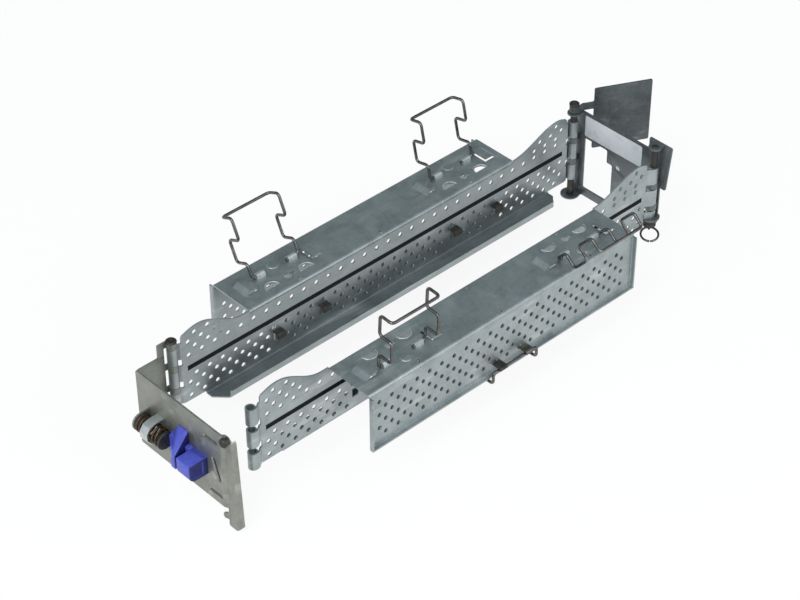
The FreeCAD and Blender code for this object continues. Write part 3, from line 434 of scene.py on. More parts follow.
finish("zinc_sheet", dark=(0.215, 0.25, 0.255), light=(0.43, 0.475, 0.48),
       scuff=(0.66, 0.69, 0.69), metallic=0.85, rough=0.30, cloud=45, lines=800, line_amount=0.35)
finish("bright_wire", dark=(0.06, 0.06, 0.055), light=(0.20, 0.20, 0.19),
       scuff=(0.50, 0.49, 0.46), metallic=1.0, rough=0.18, cloud=180, lines=900,
       scuffs=0.35, bump=0.15)
finish("bracket_steel", dark=(0.17, 0.18, 0.155), light=(0.34, 0.35, 0.315),
       scuff=(0.46, 0.46, 0.42), metallic=0.75, rough=0.36, cloud=70, lines=500, scuffs=0.6)
finish("elbow_steel", dark=(0.085, 0.097, 0.10), light=(0.21, 0.23, 0.235),
       scuff=(0.42, 0.45, 0.455), metallic=0.8, rough=0.33, cloud=60, lines=700)
finish("stop_steel", dark=(0.03, 0.037, 0.043), light=(0.13, 0.148, 0.15),
       scuff=(0.26, 0.28, 0.28), metallic=0.75, rough=0.34, cloud=40, lines=500, bump=0.2)
finish("dark_steel", dark=(0.02, 0.02, 0.018), light=(0.075, 0.072, 0.062),
       scuff=(0.28, 0.27, 0.24), metallic=0.7, rough=0.38, cloud=160, lines=700,
       scuffs=0.6, bump=0.3)
finish("spring_steel", dark=(0.035, 0.022, 0.014), light=(0.13, 0.085, 0.055),
       scuff=(0.34, 0.26, 0.20), metallic=0.8, rough=0.30, cloud=200, lines=900, bump=0.2)
finish("blue_plastic", dark=(0.045, 0.058, 0.36), light=(0.085, 0.110, 0.56),
       scuff=(0.16, 0.20, 0.72), metallic=0.0, rough=0.34, cloud=220, lines=1500,
       line_amount=0.25, scuffs=0.35, bump=0.12, specular=0.45)
finish("bare_label", dark=(0.50, 0.53, 0.55), light=(0.66, 0.69, 0.70),
       scuff=(0.40, 0.42, 0.43), metallic=0.0, rough=0.45, cloud=90, lines=300,
       line_amount=0.2, bump=0.08)
# Near-black: painted shade in the bead's hollow.
finish("bead_painted_shade", dark=(0.004, 0.005, 0.005), light=(0.014, 0.017, 0.017),
       scuff=(0.05, 0.06, 0.055), metallic=0.0, rough=0.6, cloud=150, lines=600,
       scuffs=0.4, bump=0.2, specular=0.15)
# A darker copy of the zinc: painted shade for the shelf's upper side.
finish("shelf_painted_shade", dark=(0.10, 0.12, 0.125), light=(0.24, 0.27, 0.275),
       scuff=(0.36, 0.39, 0.39), metallic=0.7, rough=0.38, cloud=45, lines=800,
       line_amount=0.35, scuffs=0.6)
# A lighter metal: painted highlight on the straps, burrs and spring arch.
finish("strap_painted_highlight", dark=(0.42, 0.46, 0.46), light=(0.66, 0.70, 0.70),
       scuff=(0.80, 0.82, 0.82), metallic=0.85, rough=0.26, cloud=120, lines=700,
       scuffs=0.4, bump=0.2)

# The latch's front ends lie away from the light, so they are painted navy there as shade.
tree = MATERIALS["blue_plastic"].node_tree
colour = tree.nodes["Principled BSDF"].inputs["Base Color"]
facing = add(tree, "ShaderNodeSeparateXYZ", add(tree, "ShaderNodeNewGeometry").outputs["Normal"])
painted_navy_shade = mix(tree, ramp(tree, facing.outputs["Y"], -0.45, -0.95),
           colour.links[0].from_socket, (0.010, 0.013, 0.11, 1))
tree.links.new(painted_navy_shade, colour)
print("materials:", sorted(MATERIALS))

for record_part in frame["record"]["subparts"]:
    node = frame["nodes"][record_part["node"]]
    node.data.materials.clear()
    node.data.materials.append(MATERIALS[record_part["material_slot"]])

# %% [markdown]
# ## Folding a sheet
# A press brake folds a flat sheet along straight lines. The same can be done in
# edit mode: one edge is pulled straight for each flat and spun round a centre for
# each bend. Solidify then gives the folded skin its thickness. A cube with a bevel
# could look alike, but its wall would not keep the same thickness round the bend.

# %% The folding helper
SHEET = 1.2
BEND_R = 2.0
BEND = BEND_R + SHEET / 2


def fold(name, x0, x1, y, z, heading, moves, thickness=SHEET):
    """moves are lengths of flat, or (angle, radius) for a bend; left turns are positive."""
    obj = draw_line(name, [(x0, y, z), (x1, y, z)])
    angle = math.radians(heading)
    for move in moves:
        if isinstance(move, tuple):
            turn = math.radians(move[0])
            arm = math.copysign(move[1], turn)
            centre_y = y - arm * math.sin(angle)
            centre_z = z + arm * math.cos(angle)
            bpy.ops.mesh.spin(steps=5, angle=-turn, center=(0, centre_y * MM, centre_z * MM),
                              axis=(1, 0, 0))
            angle += turn
            y = centre_y + arm * math.sin(angle)
            z = centre_z - arm * math.cos(angle)
        else:
            step_y = move * math.cos(angle)
            step_z = move * math.sin(angle)
            pull(0, step_y, step_z)
            y += step_y
            z += step_z
    return thicken(obj, thickness)


# %% [markdown]
# ## Punching the perforation
# The trays are punched with round holes in staggered rows. One round punch is
# modelled and repeated by two Array modifiers, then taken out of the sheet with a
# Boolean. Drawing each hole by hand would give the same result slowly.

# %% The punch
HOLE_R = 2.0
HOLE_PITCH = 12.4
ROW_PITCH = 6.2
THROUGH = 4.0  # how far a punch reaches past the sheet's middle


def punch(x, z, columns, rows, y=0.0):
    tool = rod("punch", HOLE_R, (x, y, z), 2 * THROUGH, "Y", 14)
    for count, step in ((columns, (HOLE_PITCH * MM, 0, 0)), (rows, (0, 0, -2 * ROW_PITCH * MM))):
        if count > 1:
            use(tool, "ARRAY", count=count, use_relative_offset=False,
                use_constant_offset=True, constant_offset_displace=step)
    return tool


# %% [markdown]
# ## The spine
# The upright web runs from hinge to hinge. It has a long pressed bead, and an ear
# at each end that rises in a curve above the tray. The bead's middle line is
# pulled sideways, and each ear's top edge is lifted along its own curve.

# %% Spine measures
ARM = 420.0
SPACING = 88.0
END = 8.5
TRAY0 = 73.0
TRAY1 = 350.0
DEPTH = 43.5
TOP = 22.5
BOTTOM = -31.5
BEAD = 2.0
BEAD_STEP = 1.2
BEAD_DEPTH = 1.5
BEAD_END = 13.0
EAR_SHOULDER = 9.5
EAR_CORNER = 3.0
LEFT_EAR = (TRAY0 - 7.0, 25.0, 15.5)
RIGHT_EAR = (ARM - TRAY1, 19.0, 14.5)
UPPER_ROW = 13.8
LOWER_ROW = -6.0
BAIL_SPAN = 46.0
BAIL_CENTRES = (121.0, 306.0)
CATCH_Z = -9.0
CATCH_WINDOW = (-19.5, -11.0)


def legs(centre):
    """Place of each leg of a bail, and the way to the bail's middle."""
    return [(centre - BAIL_SPAN / 2, 1), (centre + BAIL_SPAN / 2, -1)]


UPPER_LEGS = legs(BAIL_CENTRES[0]) + legs(BAIL_CENTRES[1])


def ear_height(from_hinge, foot, crest, rise):
    """Height of the ear's edge at a distance from the hinge."""
    start = END + EAR_CORNER
    if from_hinge < start:
        inside = start - from_hinge
        return TOP + EAR_SHOULDER + math.sqrt(max(EAR_CORNER ** 2 - inside ** 2, 0))
    if from_hinge < crest:
        part = (from_hinge - start) / (crest - start)
        return TOP + rise - (rise - EAR_SHOULDER - EAR_CORNER) * (1 - part) ** 2
    part = min(1, (from_hinge - crest) / (foot - crest))
    return TOP + rise * (1 + math.cos(math.pi * part)) / 2


# %% Punches of the spine
def hole_row(x_from, x_to, row):
    """Places of a row's holes; every second row is set off by half a pitch."""
    offset = row % 2 * HOLE_PITCH / 2
    count = int((x_to - x_from - offset) // HOLE_PITCH) + 1
    return [x_from + offset + HOLE_PITCH * k for k in range(count)]


def row_punches(places, z):
    """One repeated punch for each unbroken run of holes in a row."""
    runs = []
    for x in places:
        if runs and abs(x - runs[-1][-1] - HOLE_PITCH) < 0.1:
            runs[-1].append(x)
        else:
            runs.append([x])
    return [punch(run[0], z, len(run), 1) for run in runs]


def spine_punches():
    edge = END + HOLE_PITCH / 2
    tools = row_punches(hole_row(edge, ARM - edge, 0), UPPER_ROW)
    for row in range(4):
        z = LOWER_ROW - ROW_PITCH * row
        places = hole_row(edge, ARM - edge, row + 1)
        if z < CATCH_Z + HOLE_R:
            places = [x for x in places if all(abs(x - leg) > 8.0 for leg, _ in UPPER_LEGS)]
        tools += row_punches(places, z)
    for ear in (LEFT_EAR, RIGHT_EAR):
        for row in (1, 2, 3):
            z = UPPER_ROW + ROW_PITCH * row
            places = [x for x in hole_row(edge, ear[0] - HOLE_PITCH, row)
                      if z + HOLE_R + SHEET <= min(ear_height(x - HOLE_R, *ear),
                                                   ear_height(x + HOLE_R, *ear))]
            if ear == RIGHT_EAR:
                places = [ARM - x for x in reversed(places)]
            tools += row_punches(places, z)
    low, high = CATCH_WINDOW
    for leg, _ in UPPER_LEGS:
        outline = rounded(box_points(leg - 3.2, low, leg + 3.2, high), 1.2)
        tools.append(draw_plate("lance", outline, "Y", -THROUGH, 2 * THROUGH))
    return tools


# %% Build the spine
def build_spine():
    foot, head = BOTTOM + BEND, TOP - BEND
    obj = draw_line("spine", [(END, 0, foot), (ARM - END, 0, foot)])
    below = BEAD - 2 * BEAD_STEP - foot
    above = head - BEAD - 2 * BEAD_STEP
    for height in (below, *[BEAD_STEP] * 4, above):
        pull(0, 0, height)
    ends = (BEAD_END - 0.5, BEAD_END + 1)
    for x in (TRAY0, TRAY1, *ends, *(ARM - end for end in ends)):
        bpy.ops.mesh.select_all(action="SELECT")
        bpy.ops.mesh.bisect(plane_co=(x * MM, 0, 0), plane_no=(1, 0, 0))
    choose(obj, "VERT", lambda co: (abs(co.z - BEAD) < BEAD_STEP + 0.1
                                     and BEAD_END < co.x < ARM - BEAD_END))
    shift(0, BEAD_DEPTH, 0)
    for left, ear in ((True, LEFT_EAR), (False, RIGHT_EAR)):
        def on_ear(co, left=left):
            beyond = co.x < TRAY0 + 0.1 if left else co.x > TRAY1 - 0.1
            return beyond and co.z > head - 0.1
        choose(obj, "EDGE", lambda a, b: on_ear(a) and on_ear(b))
        bpy.ops.mesh.subdivide(number_cuts=15)
        choose(obj, "EDGE", lambda a, b: on_ear(a) and on_ear(b))
        pull(0, 0, BEND)
        bpy.ops.object.mode_set(mode="OBJECT")
        for vertex in obj.data.vertices:
            x = vertex.co.x / MM
            if vertex.co.z / MM > TOP - 1 and on_ear(vertex.co / MM):
                vertex.co.z = ear_height(x if left else ARM - x, *ear) * MM
    thicken(obj, SHEET)
    cut(obj, spine_punches())
    return obj


# %% Front and rear arm
ACROSS = moved(0, SPACING, 0)
TURNED_ROUND = ACROSS @ Matrix.Scale(-1, 4, (0, 1, 0))


def copy_of(obj, name, place):
    """A copy with a mesh of its own, placed by a matrix."""
    take(obj)
    bpy.ops.object.duplicate()
    twin = bpy.context.object
    twin.name = name
    twin.data.transform(place)
    return twin


def both_arms(obj, key, material):
    """The rear arm is the front arm turned round, so its piece is a mirrored copy."""
    rear = outward(copy_of(obj, "rear_arm_" + key, TURNED_ROUND))
    obj.name = "front_arm_" + key
    dress(rear, "rear_arm", material, ["rear_" + key])
    dress(obj, "front_arm", material, ["front_" + key])
    return obj, rear


front_spine = build_spine()
rear_spine = copy_of(front_spine, "rear_arm_spine", ACROSS)
front_spine.name = "front_arm_spine"
dress(front_spine, "front_arm", "zinc_sheet", ["front_spine"])
dress(rear_spine, "rear_arm", "zinc_sheet", ["rear_spine"])

# %% [markdown]
# The bead's hollow is painted near-black as shade, so it shows as a dark line from end to
# end. Its faces take a second finish.

# %% Dark bead
def in_hollow(centre, normal):
    near = abs(centre.z - BEAD) < 2 * BEAD_STEP - 0.1
    return near and normal.y < -0.1 and END + 3 < centre.x < ARM - END - 3


# The hollow's faces take the painted shade.
for spine in (front_spine, rear_spine):
    second_finish(spine, "bead_painted_shade", in_hollow)

# %% [markdown]
# ## The outer wall
# The wall hangs from the tray's outer bend. Three of its edges are turned outward
# as a narrow rim that stiffens the sheet, with a small radius at the corners.

# %% Outer wall
RIM = 3.5
WALL_BOTTOM = -29.5
WALL_ROW = 11.3


def build_wall():
    face = -DEPTH + SHEET / 2
    rim = RIM + SHEET / 2 - 0.05
    head, foot = TOP - BEND, WALL_BOTTOM + SHEET / 2
    obj = draw_line("wall", [(TRAY0 + SHEET / 2, face, head), (TRAY1 - SHEET / 2, face, head)])
    pull(0, 0, foot - head)
    choose(obj, "EDGE", lambda a, b: min(a.z, b.z) <= 0)
    pull(0, -rim, 0)
    choose(obj, "EDGE", lambda a, b: min(a.y, b.y) > face - 0.1 and min(a.z, b.z) <= 0)
    bpy.ops.mesh.bevel(offset=1.3 * MM, segments=3, affect="EDGES")
    thicken(obj, SHEET, even=True)
    first = TRAY0 + RIM + HOLE_PITCH / 2
    cut(obj, [punch(first, WALL_ROW, 21, 3, face),
              punch(first + HOLE_PITCH / 2, WALL_ROW - ROW_PITCH, 21, 3, face)])
    return obj


both_arms(build_wall(), "wall", "zinc_sheet")

# %% [markdown]
# ## The tray top
# The flange carries the wire bails. Each bail leg turns in a half-round strap that
# is lanced out of the sheet, and a tongue beside it is raised so that its free edge
# faces the leg. Crescents, keyholes and small round openings come from the punching.

# %% Tray top measures
PIVOT_Y = -26.0
WIRE_R = 1.25
FIT = 0.1
WIRE_Z = TOP + WIRE_R + FIT
STRAP_W = 8.0
LANDING = 0.6
CRESCENT_X = 6.0
CRESCENT_Y = -9.0
CRESCENT_R = 6.0
BURR_R = CRESCENT_R + 0.3
TONGUE = (-29.5, -14.5)
TONGUE_L = 13.0
KEY_Y = -12.0
KEY_R = 3.0
DIMPLE_Y = -30.0
LOCATING_R = 1.6
LOCATING_PARTS = (0.19, 0.49, 0.84)


def beside(leg, side):
    """From where to where a strap lies along the bail's foot."""
    near = leg + side * (WIRE_R + 2.0)
    return sorted((near, near + side * STRAP_W))


def strap(name, x0, x1, y, base, axis_z):
    """Half-round strap round a wire: it starts on the sheet, arches over and lands again."""
    radius = WIRE_R + FIT + SHEET / 2
    up = math.copysign(1, axis_z - base)
    flat = abs(axis_z - base) + LANDING
    return fold(name, x0, x1, y + up * radius, base - up * LANDING, up * 90,
                [flat, (180, radius), flat])


# %% Details of the tray top
def half_round_tool(x, y, radius):
    tool = rod("crescent", radius, (x, y, TOP), 2 * THROUGH)
    open_up(tool)
    bpy.ops.mesh.bisect(plane_co=(x * MM, y * MM, 0), plane_no=(0, 1, 0), clear_outer=True,
                        use_fill=True)
    return outward(tool)


def burr(x, y, radius):
    """Rounded burr that the punch draws up along a crescent's curved side."""
    section = [(radius + 0.55 * a, 0.55 * b) for a, b in arc_points(0, 0, 1, 0, 360, 10)]
    return close_ends(turned("burr", section, (x, y, TOP + 0.15), steps=20, sweep=180))


def tongue(free, away):
    """Raised tongue: flat near the leg, then bent down to the sheet."""
    height = TOP - SHEET / 2 + 3.0
    obj = draw_line("tongue", [(free, y, height) for y in TONGUE])
    for step, drop in ((6.5, 0), (1.5, -0.35), (3.5, -2.3), (1.5, -0.35)):
        pull(away * step, 0, drop)
    return thicken(obj, SHEET)


def dimple(x, y):
    """Shallow round boss: a disc drawn up in small steps with a soft shoulder."""
    obj = rod("dimple", 5.0, (x, y, TOP - 0.175), 0.45)
    choose(obj, "FACE", lambda centre, normal: normal.z > 0.9)
    for inset, rise in ((0.4, 0.35), (0.5, 0.25), (0.8, 0.12), (1.0, 0.03)):
        bpy.ops.mesh.inset(thickness=inset * MM)
        shift(0, 0, rise)
    bpy.ops.object.mode_set(mode="OBJECT")
    return obj


# %% Build the tray top
def slot_block(x0, y0, x1, y1, above):
    return block("slot", (x0, y0, TOP - THROUGH), (x1, y1, TOP + above))


def build_top():
    flat = DEPTH + SHEET / 2 - 2 * BEND
    skin = fold("top", TRAY0, TRAY1, 0, TOP - BEND, 90, [(90, BEND_R), flat, (90, BEND_R)])
    tools = []
    grooves = []
    raised = []
    for leg, side in UPPER_LEGS:
        x0, x1 = beside(leg, side)
        tools.append(slot_block(x0, PIVOT_Y - 1.35, x1, PIVOT_Y + 1.35, 2))
        raised.append(strap("strap", x0, x1, PIVOT_Y, TOP, WIRE_Z))
        free = leg - side * 4.0
        x0, x1 = sorted((free, free - side * TONGUE_L))
        tools.append(slot_block(x0, TONGUE[0], x1, TONGUE[1], 2))
        raised.append(tongue(free, -side))
        tools.append(half_round_tool(leg + side * CRESCENT_X, CRESCENT_Y, CRESCENT_R))
        raised.append(burr(leg + side * CRESCENT_X, CRESCENT_Y, BURR_R))
    for x in BAIL_CENTRES:
        tools.append(rod("key", KEY_R, (x, KEY_Y, TOP), 2 * THROUGH, sides=24))
        grooves.append(slot_block(x, KEY_Y - 1.1, x + 7.0, KEY_Y + 1.1, THROUGH))
        raised.append(dimple(x, DIMPLE_Y))
    for part in LOCATING_PARTS:
        x = TRAY0 + (TRAY1 - TRAY0) * part
        for y in (-2.0 - LOCATING_R, -DEPTH + BEND + LOCATING_R):
            tools.append(rod("locating hole", LOCATING_R, (x, y, TOP), 2 * THROUGH, sides=16))
    cut(skin, tools)
    cut(skin, grooves)
    print("tray top", len(skin.data.polygons))
    return join("top", [skin] + raised)


def painted_bright(x, y, z):
    """True on the straps and on the burrs, which are painted lighter as a highlight."""
    if z < TOP + 0.02:
        return False
    for leg, side in UPPER_LEGS:
        if abs(math.hypot(x - leg - side * CRESCENT_X, y - CRESCENT_Y) - BURR_R) < 0.9:
            return True
        if abs(y - PIVOT_Y) < 2.8 and 1.0 < side * (x - leg) < 3.6 + STRAP_W:
            return True
    return False


front_top, rear_top = both_arms(build_top(), "top", "zinc_sheet")
# The straps and burrs take the lighter metal as a painted highlight.
second_finish(front_top, "strap_painted_highlight", lambda centre, normal: painted_bright(*centre))
second_finish(rear_top, "strap_painted_highlight",
              lambda centre, normal: painted_bright(centre.x, SPACING - centre.y, centre.z))

# %% [markdown]
# ## The cable shelf
# Under the spine the sheet turns towards the other arm and ends in an upturned
# lip. Its outer corners are cut off at a slant. Two straps below it hold the lower
# bail's feet. The side that faces up is painted darker, as shade.

# %% Shelf
SHELF0 = 28.0
LIP = 7.0
LOWER_CENTRE = 215.0
LOWER_Y = 5.0
LOWER_Z = BOTTOM - WIRE_R - FIT


def build_shelf(width):
    obj = fold("shelf", SHELF0, ARM - SHELF0, 0, BOTTOM + BEND, -90,
               [(90, BEND_R), width - 2 * BEND, (90, BEND_R), LIP - BEND])
    slant_y = width * 0.4 - SHEET / 2
    for x, side in ((SHELF0, 1), (ARM - SHELF0, -1)):
        open_up(obj)
        bpy.ops.mesh.bisect(plane_co=(x * MM, slant_y * MM, 0), plane_no=(-side, 1, 0),
                            clear_outer=True, use_fill=True)
    outward(obj)
    straps = [strap("lower strap", *beside(leg, side), LOWER_Y, BOTTOM, LOWER_Z)
              for leg, side in legs(LOWER_CENTRE)]
    return join("shelf", [obj] + straps)


front_shelf = build_shelf(11.5)
front_shelf.name = "front_arm_shelf"
dress(front_shelf, "front_arm", "zinc_sheet", ["front_shelf"])
wide_shelf = build_shelf(18.5)
rear_shelf = outward(copy_of(wide_shelf, "rear_arm_shelf", TURNED_ROUND))
bpy.data.objects.remove(wide_shelf)
dress(rear_shelf, "rear_arm", "zinc_sheet", ["rear_shelf"])
# Faces that look up, and on the rear shelf the lip's inner face, are painted darker as shade.
second_finish(front_shelf, "shelf_painted_shade",
              lambda centre, normal: centre.z > BOTTOM - 1 and normal.z > 0.3)
second_finish(rear_shelf, "shelf_painted_shade", lambda centre, normal: centre.z > BOTTOM - 1
              and (normal.z > 0.3 or normal.y > 0.7))

# %% [markdown]
# ## Snap catches
# A catch is a hook that is lanced out of the sheet, so the sheet keeps a small
# window where the hook's metal was. It is folded like any other strip. The two on
# the wall are shallow and hold the lower bail's crossbar from above.

# %% Catches
def build_catches(name, middles, *way):
    hooks = [fold("hook", x - 4.0, x + 4.0, *way) for x in middles]
    return join(name, [soften(hook, 0.25) for hook in hooks])


both_arms(build_catches("spine_catches", [leg for leg, _ in UPPER_LEGS], 0.3, CATCH_Z - 0.6, 0,
                        [4.9, (-90, 1.0), 2.0, (35, 2.0)]), "spine_catches", "dark_steel")
both_arms(build_catches("wall_catches", [leg + side * 9.0 for leg, side in legs(LOWER_CENTRE)],
                        -DEPTH + 0.2, -20.7, 180, [7.8, (90, 0.9), 0.9]),
          "wall_catches", "dark_steel")

# %% [markdown]
# ## Curled knuckles
# Each hinge eye is the sheet itself, curled once round the pin, so it has an open
# seam where the curl meets the tab. A strip is pulled from the ear and spun almost
# a full turn. A plain tube would lack the seam.

# %% Knuckles
KNUCKLE_IN = 2.78
CURL_WALL = 1.3
CURL_R = KNUCKLE_IN + CURL_WALL / 2
CURL_TURN = math.radians(322)
KNUCKLE_H = 15.0
SHORT_KNUCKLE_H = 6.5
KNEE = 7.2  # where the tab leaves the sheet's plane
SLOPE = ((4.2, 0.86), (1.4, 0.14))  # how the tab comes down: lengths, and shares of the drop
KNUCKLE_PITCH = 21.0


def curl(x, y, z0, z1, side, reach=END):
    """Strip along the tab that curls round the pin; side is where the sheet lies."""
    knee = min(KNEE, reach - 0.2)
    last = knee - sum(step for step, _ in SLOPE)
    obj = draw_line("curl", [(side * reach, 0, z0), (side * reach, 0, z1)])
    for step, drop in ((reach - knee, 0), *SLOPE, (last, 0)):
        pull(-side * step, -CURL_R * drop, 0)
    bpy.ops.mesh.spin(steps=20, angle=side * CURL_TURN, center=(0, 0, 0), axis=(0, 0, 1))
    thicken(obj, CURL_WALL * 0.92)
    obj.data.transform(moved(x, y, 0))
    return obj


def build_knuckles(x, side, short_last):
    parts = []
    for centre in (KNUCKLE_PITCH, 0, -KNUCKLE_PITCH):
        z0, z1 = centre - KNUCKLE_H / 2, centre + KNUCKLE_H / 2
        if short_last and centre < 0:
            z0 = z1 - SHORT_KNUCKLE_H
        parts.append(curl(x, 0, z0, z1, side))
    return join("knuckles", parts)


for arm in ("front", "rear"):
    for end, x, side in (("left", 0, 1), ("right", ARM, -1)):
        group = build_knuckles(x, side, arm == "front" and end == "right")
        group.name = arm + "_arm_knuckles_" + end
        if arm == "rear":
            group.data.transform(TURNED_ROUND)
            outward(group)
        dress(group, arm + "_arm", "zinc_sheet", [arm + "_knuckles_" + end])

# %% [markdown]
# ## Wire bails
# The bails are round spring wire, bent cold. A circle is drawn at one foot, pulled
# for each straight run and spun for each bend, as a wire bender works. A curve
# with a bevel would be quicker, but the bends would not keep one radius.

# %% Bending wire
WIRE_BEND = 3.0


def wire_section(name, radius, centre, turn, sides=14):
    """The round section that a wire is pulled, spun or screwed from."""
    clear()
    bpy.ops.mesh.primitive_circle_add(vertices=sides, radius=radius * MM,
                                      location=Vector(centre) * MM, rotation=turn)
    obj = bpy.context.object
    obj.name = name
    settle()
    return obj


def bend_wire(name, points):
    corners = [Vector(p) for p in points]
    along = (corners[1] - corners[0]).normalized()
    obj = wire_section(name, WIRE_R, corners[0], along.to_track_quat("Z", "Y").to_euler())
    choose(obj, "EDGE", lambda a, b: True)
    here = corners[0]
    for before, corner, after in zip(corners, corners[1:], corners[2:]):
        back = (before - corner).normalized()
        ahead = (after - corner).normalized()
        turn = math.pi - back.angle(ahead)
        reach = WIRE_BEND * math.tan(turn / 2)
        pull(*(corner + back * reach - here))
        centre = corner + (back + ahead).normalized() * (WIRE_BEND / math.cos(turn / 2))
        bpy.ops.mesh.spin(steps=5, angle=-turn, center=centre * MM,
                          axis=(-back).cross(ahead).normalized())
        here = corner + ahead * reach
    pull(*(corners[-1] - here))
    return close_ends(obj)


# %% Upper and lower bails
LEANS = {"front": (3.0, 41.0), "rear": (25.0, 13.0)}
FOOT_L = 12.5
JOG_OUT = 13.0
JOG = (12.5, 31.5)
BAIL_H = 50.0
BAIL_REACH = 12.5


def both_sides(centre, side_points):
    """A bail's points: the left side, then the right side from its crossbar down."""
    left, right = (side_points(leg, side) for leg, side in legs(centre))
    return left + right[::-1]


def build_upper_bail(centre, lean):
    def side_points(x, inward):
        run = [(0, 0), (0, JOG[0]), (JOG_OUT, JOG[0]), (JOG_OUT, JOG[1]), (0, JOG[1]),
               (0, BAIL_H), (BAIL_REACH, BAIL_H)]
        foot = [(x + inward * FOOT_L, PIVOT_Y, WIRE_Z)]
        return foot + [(x, PIVOT_Y - out, WIRE_Z + up) for out, up in run]
    obj = bend_wire("bail", both_sides(centre, side_points))
    pivot = moved(0, PIVOT_Y, WIRE_Z)
    obj.data.transform(pivot @ Matrix.Rotation(math.radians(lean), 4, "X") @ pivot.inverted())
    return obj


def build_lower_bail():
    def side_points(x, inward):
        front = -DEPTH - RIM - WIRE_R - 1.6
        return [(x + inward * FOOT_L, LOWER_Y, LOWER_Z), (x, LOWER_Y, LOWER_Z),
                (x, front, LOWER_Z), (x, front, LOWER_Z + 10.0)]
    return bend_wire("lower bail", both_sides(LOWER_CENTRE, side_points))


for arm in ("front", "rear"):
    wires = [build_upper_bail(*bail) for bail in zip(BAIL_CENTRES, LEANS[arm])]
    wires.append(build_lower_bail())
    for key, wire in zip(("left", "right", "lower"), wires):
        if arm == "rear":
            wire.data.transform(TURNED_ROUND)
            outward(wire)
        node = arm + "_bail_" + key
        wire.name = node + "_wire"
        dress(wire, node, "bright_wire", [node], 60)

# %% [markdown]
# ## The rail bracket
# The bracket is one stamped sheet. It is folded in plan view: a long flat beside the
# rack post, a small joggle, the front leg and a narrow return that stiffens the leg.
# The folded sheet is then trimmed to its silhouette, as a die would do, and slotted.

# %% Bracket measures
PLATE = 1.5
PLATE_X = -29.75
PLATE_TOP = 23.0
PLATE_FOOT = -46.0
LEG_FOOT = -64.0
REAR = SPACING + 4.08
FRONT = REAR - 97.3
SPRING_L = 27.0
LATCH_W = 39.0
LATCH1 = REAR - 13.0 - SPRING_L
LATCH0 = LATCH1 - LATCH_W
UPRIGHT = Matrix.Rotation(-math.pi / 2, 4, "Y")


def slot_tool(y0, z0, y1, z1, width):
    outline = stadium(y0, z0, y1, z1, width)
    return draw_plate("slot", outline, "X", PLATE_X - THROUGH, 2 * THROUGH)


# %% Fold, trim and slot the bracket
sheet = fold("bracket_sheet", LEG_FOOT, PLATE_TOP, REAR, -PLATE_X, 180,
             [94.8, (45, 1.2), 1.84, (-45, 1.2), 9.6, (90, 1.3), 2.3], PLATE)
choose(sheet, "VERT", lambda co: co.x > 20 and co.y < FRONT - 6)
shift(0, 4, 0)
clear()
sheet.data.transform(UPRIGHT)
silhouette = [(REAR, PLATE_TOP), (FRONT - 4, PLATE_TOP), (FRONT - 8, 19), (FRONT - 12.1, -60),
              (FRONT - 8, LEG_FOOT), (FRONT, LEG_FOOT), (FRONT, -57), (FRONT + 4, -56),
              (FRONT + 4, -52), (FRONT, -51), (FRONT, PLATE_FOOT), (REAR, PLATE_FOOT)]
cut(sheet, [draw_plate("trim", rounded(silhouette, 1.5), "X", -40, 20)], "INTERSECT")
cut(sheet, [slot_tool(FRONT + 7.6, 11.5, FRONT + 20.4, 11.5, 3.2),
            slot_tool(FRONT + 5.1, -38, FRONT + 17.9, -38, 3.2),
            slot_tool(FRONT + 6.5, -22, LATCH0 - 6.8, -6.4, 5.0),
            slot_tool(LATCH0 + 7.5, -16, LATCH1 - 2.5, -16, 5.0)])
soften(sheet, 0.22)
dress(sheet, "rail_bracket", "bracket_steel", ["bracket_plate"])

# %% [markdown]
# ## Bracket leaf and its eyes
# The hinge leaf meets the plate in a rounded bend and runs along the side of the
# pin. Four tabs at its end are curled round the pin between the arm's knuckles.

# %% Leaf
LEAF_END = 34.5
LEAF_EYES = ((28.8, LEAF_END), (7.8, 13.2), (-13.2, -7.8), (-LEAF_END, -28.8))


def leaf_curl(z0, z1):
    """A tab that runs along the leaf's plane and curls round the pin."""
    obj = draw_line("eye", [(-6.0, SPACING + CURL_R, z) for z in (z0, z1)])
    pull(6.0, 0, 0)
    bpy.ops.mesh.spin(steps=20, angle=CURL_TURN, center=(0, SPACING * MM, 0), axis=(0, 0, 1))
    return thicken(obj, CURL_WALL * 0.9)


leaf = fold("leaf", -LEAF_END, PLATE_TOP, REAR - 6.0, -PLATE_X, 0, [3.4, (-90, 1.9), 22.9])
leaf.data.transform(UPRIGHT)
stem = rounded(box_points(-10.6, PLATE_TOP - 1, -5.0, LEAF_END), 1.0)
stem = draw_plate("stem", stem, "Y", REAR - 1.25, SHEET)
eyes = [leaf_curl(z0, z1) for z0, z1 in LEAF_EYES]
leaf = join("bracket_leaf_curled", [soften(leaf, 0.2), stem] + eyes)
dress(leaf, "rail_bracket", "bracket_steel", ["bracket_leaf"])

# %% [markdown]
# ## Stud, spring strap and spring stop
# The stud is turned, with a groove under its head and a shallow dished face. The
# strap is a folded arch over the spring. The stop is a lug that the spring rests on.

# %% Stud
stud = turned("bracket_stud_turned", [
    (0, 0), (3.0, 0), (3.0, 2.4), (3.7, 2.8), (3.7, 4.9), (3.2, 5.6), (2.2, 6.0),
    (1.7, 5.6), (1.2, 5.3), (0, 5.2)], (0, 0, 0), "X")
stud.data.transform(moved(-28.5, FRONT - 4, 21.15) @ Matrix.Scale(-1, 4, (1, 0, 0)))
outward(stud)
dress(stud, "rail_bracket", "dark_steel", ["bracket_stud"])

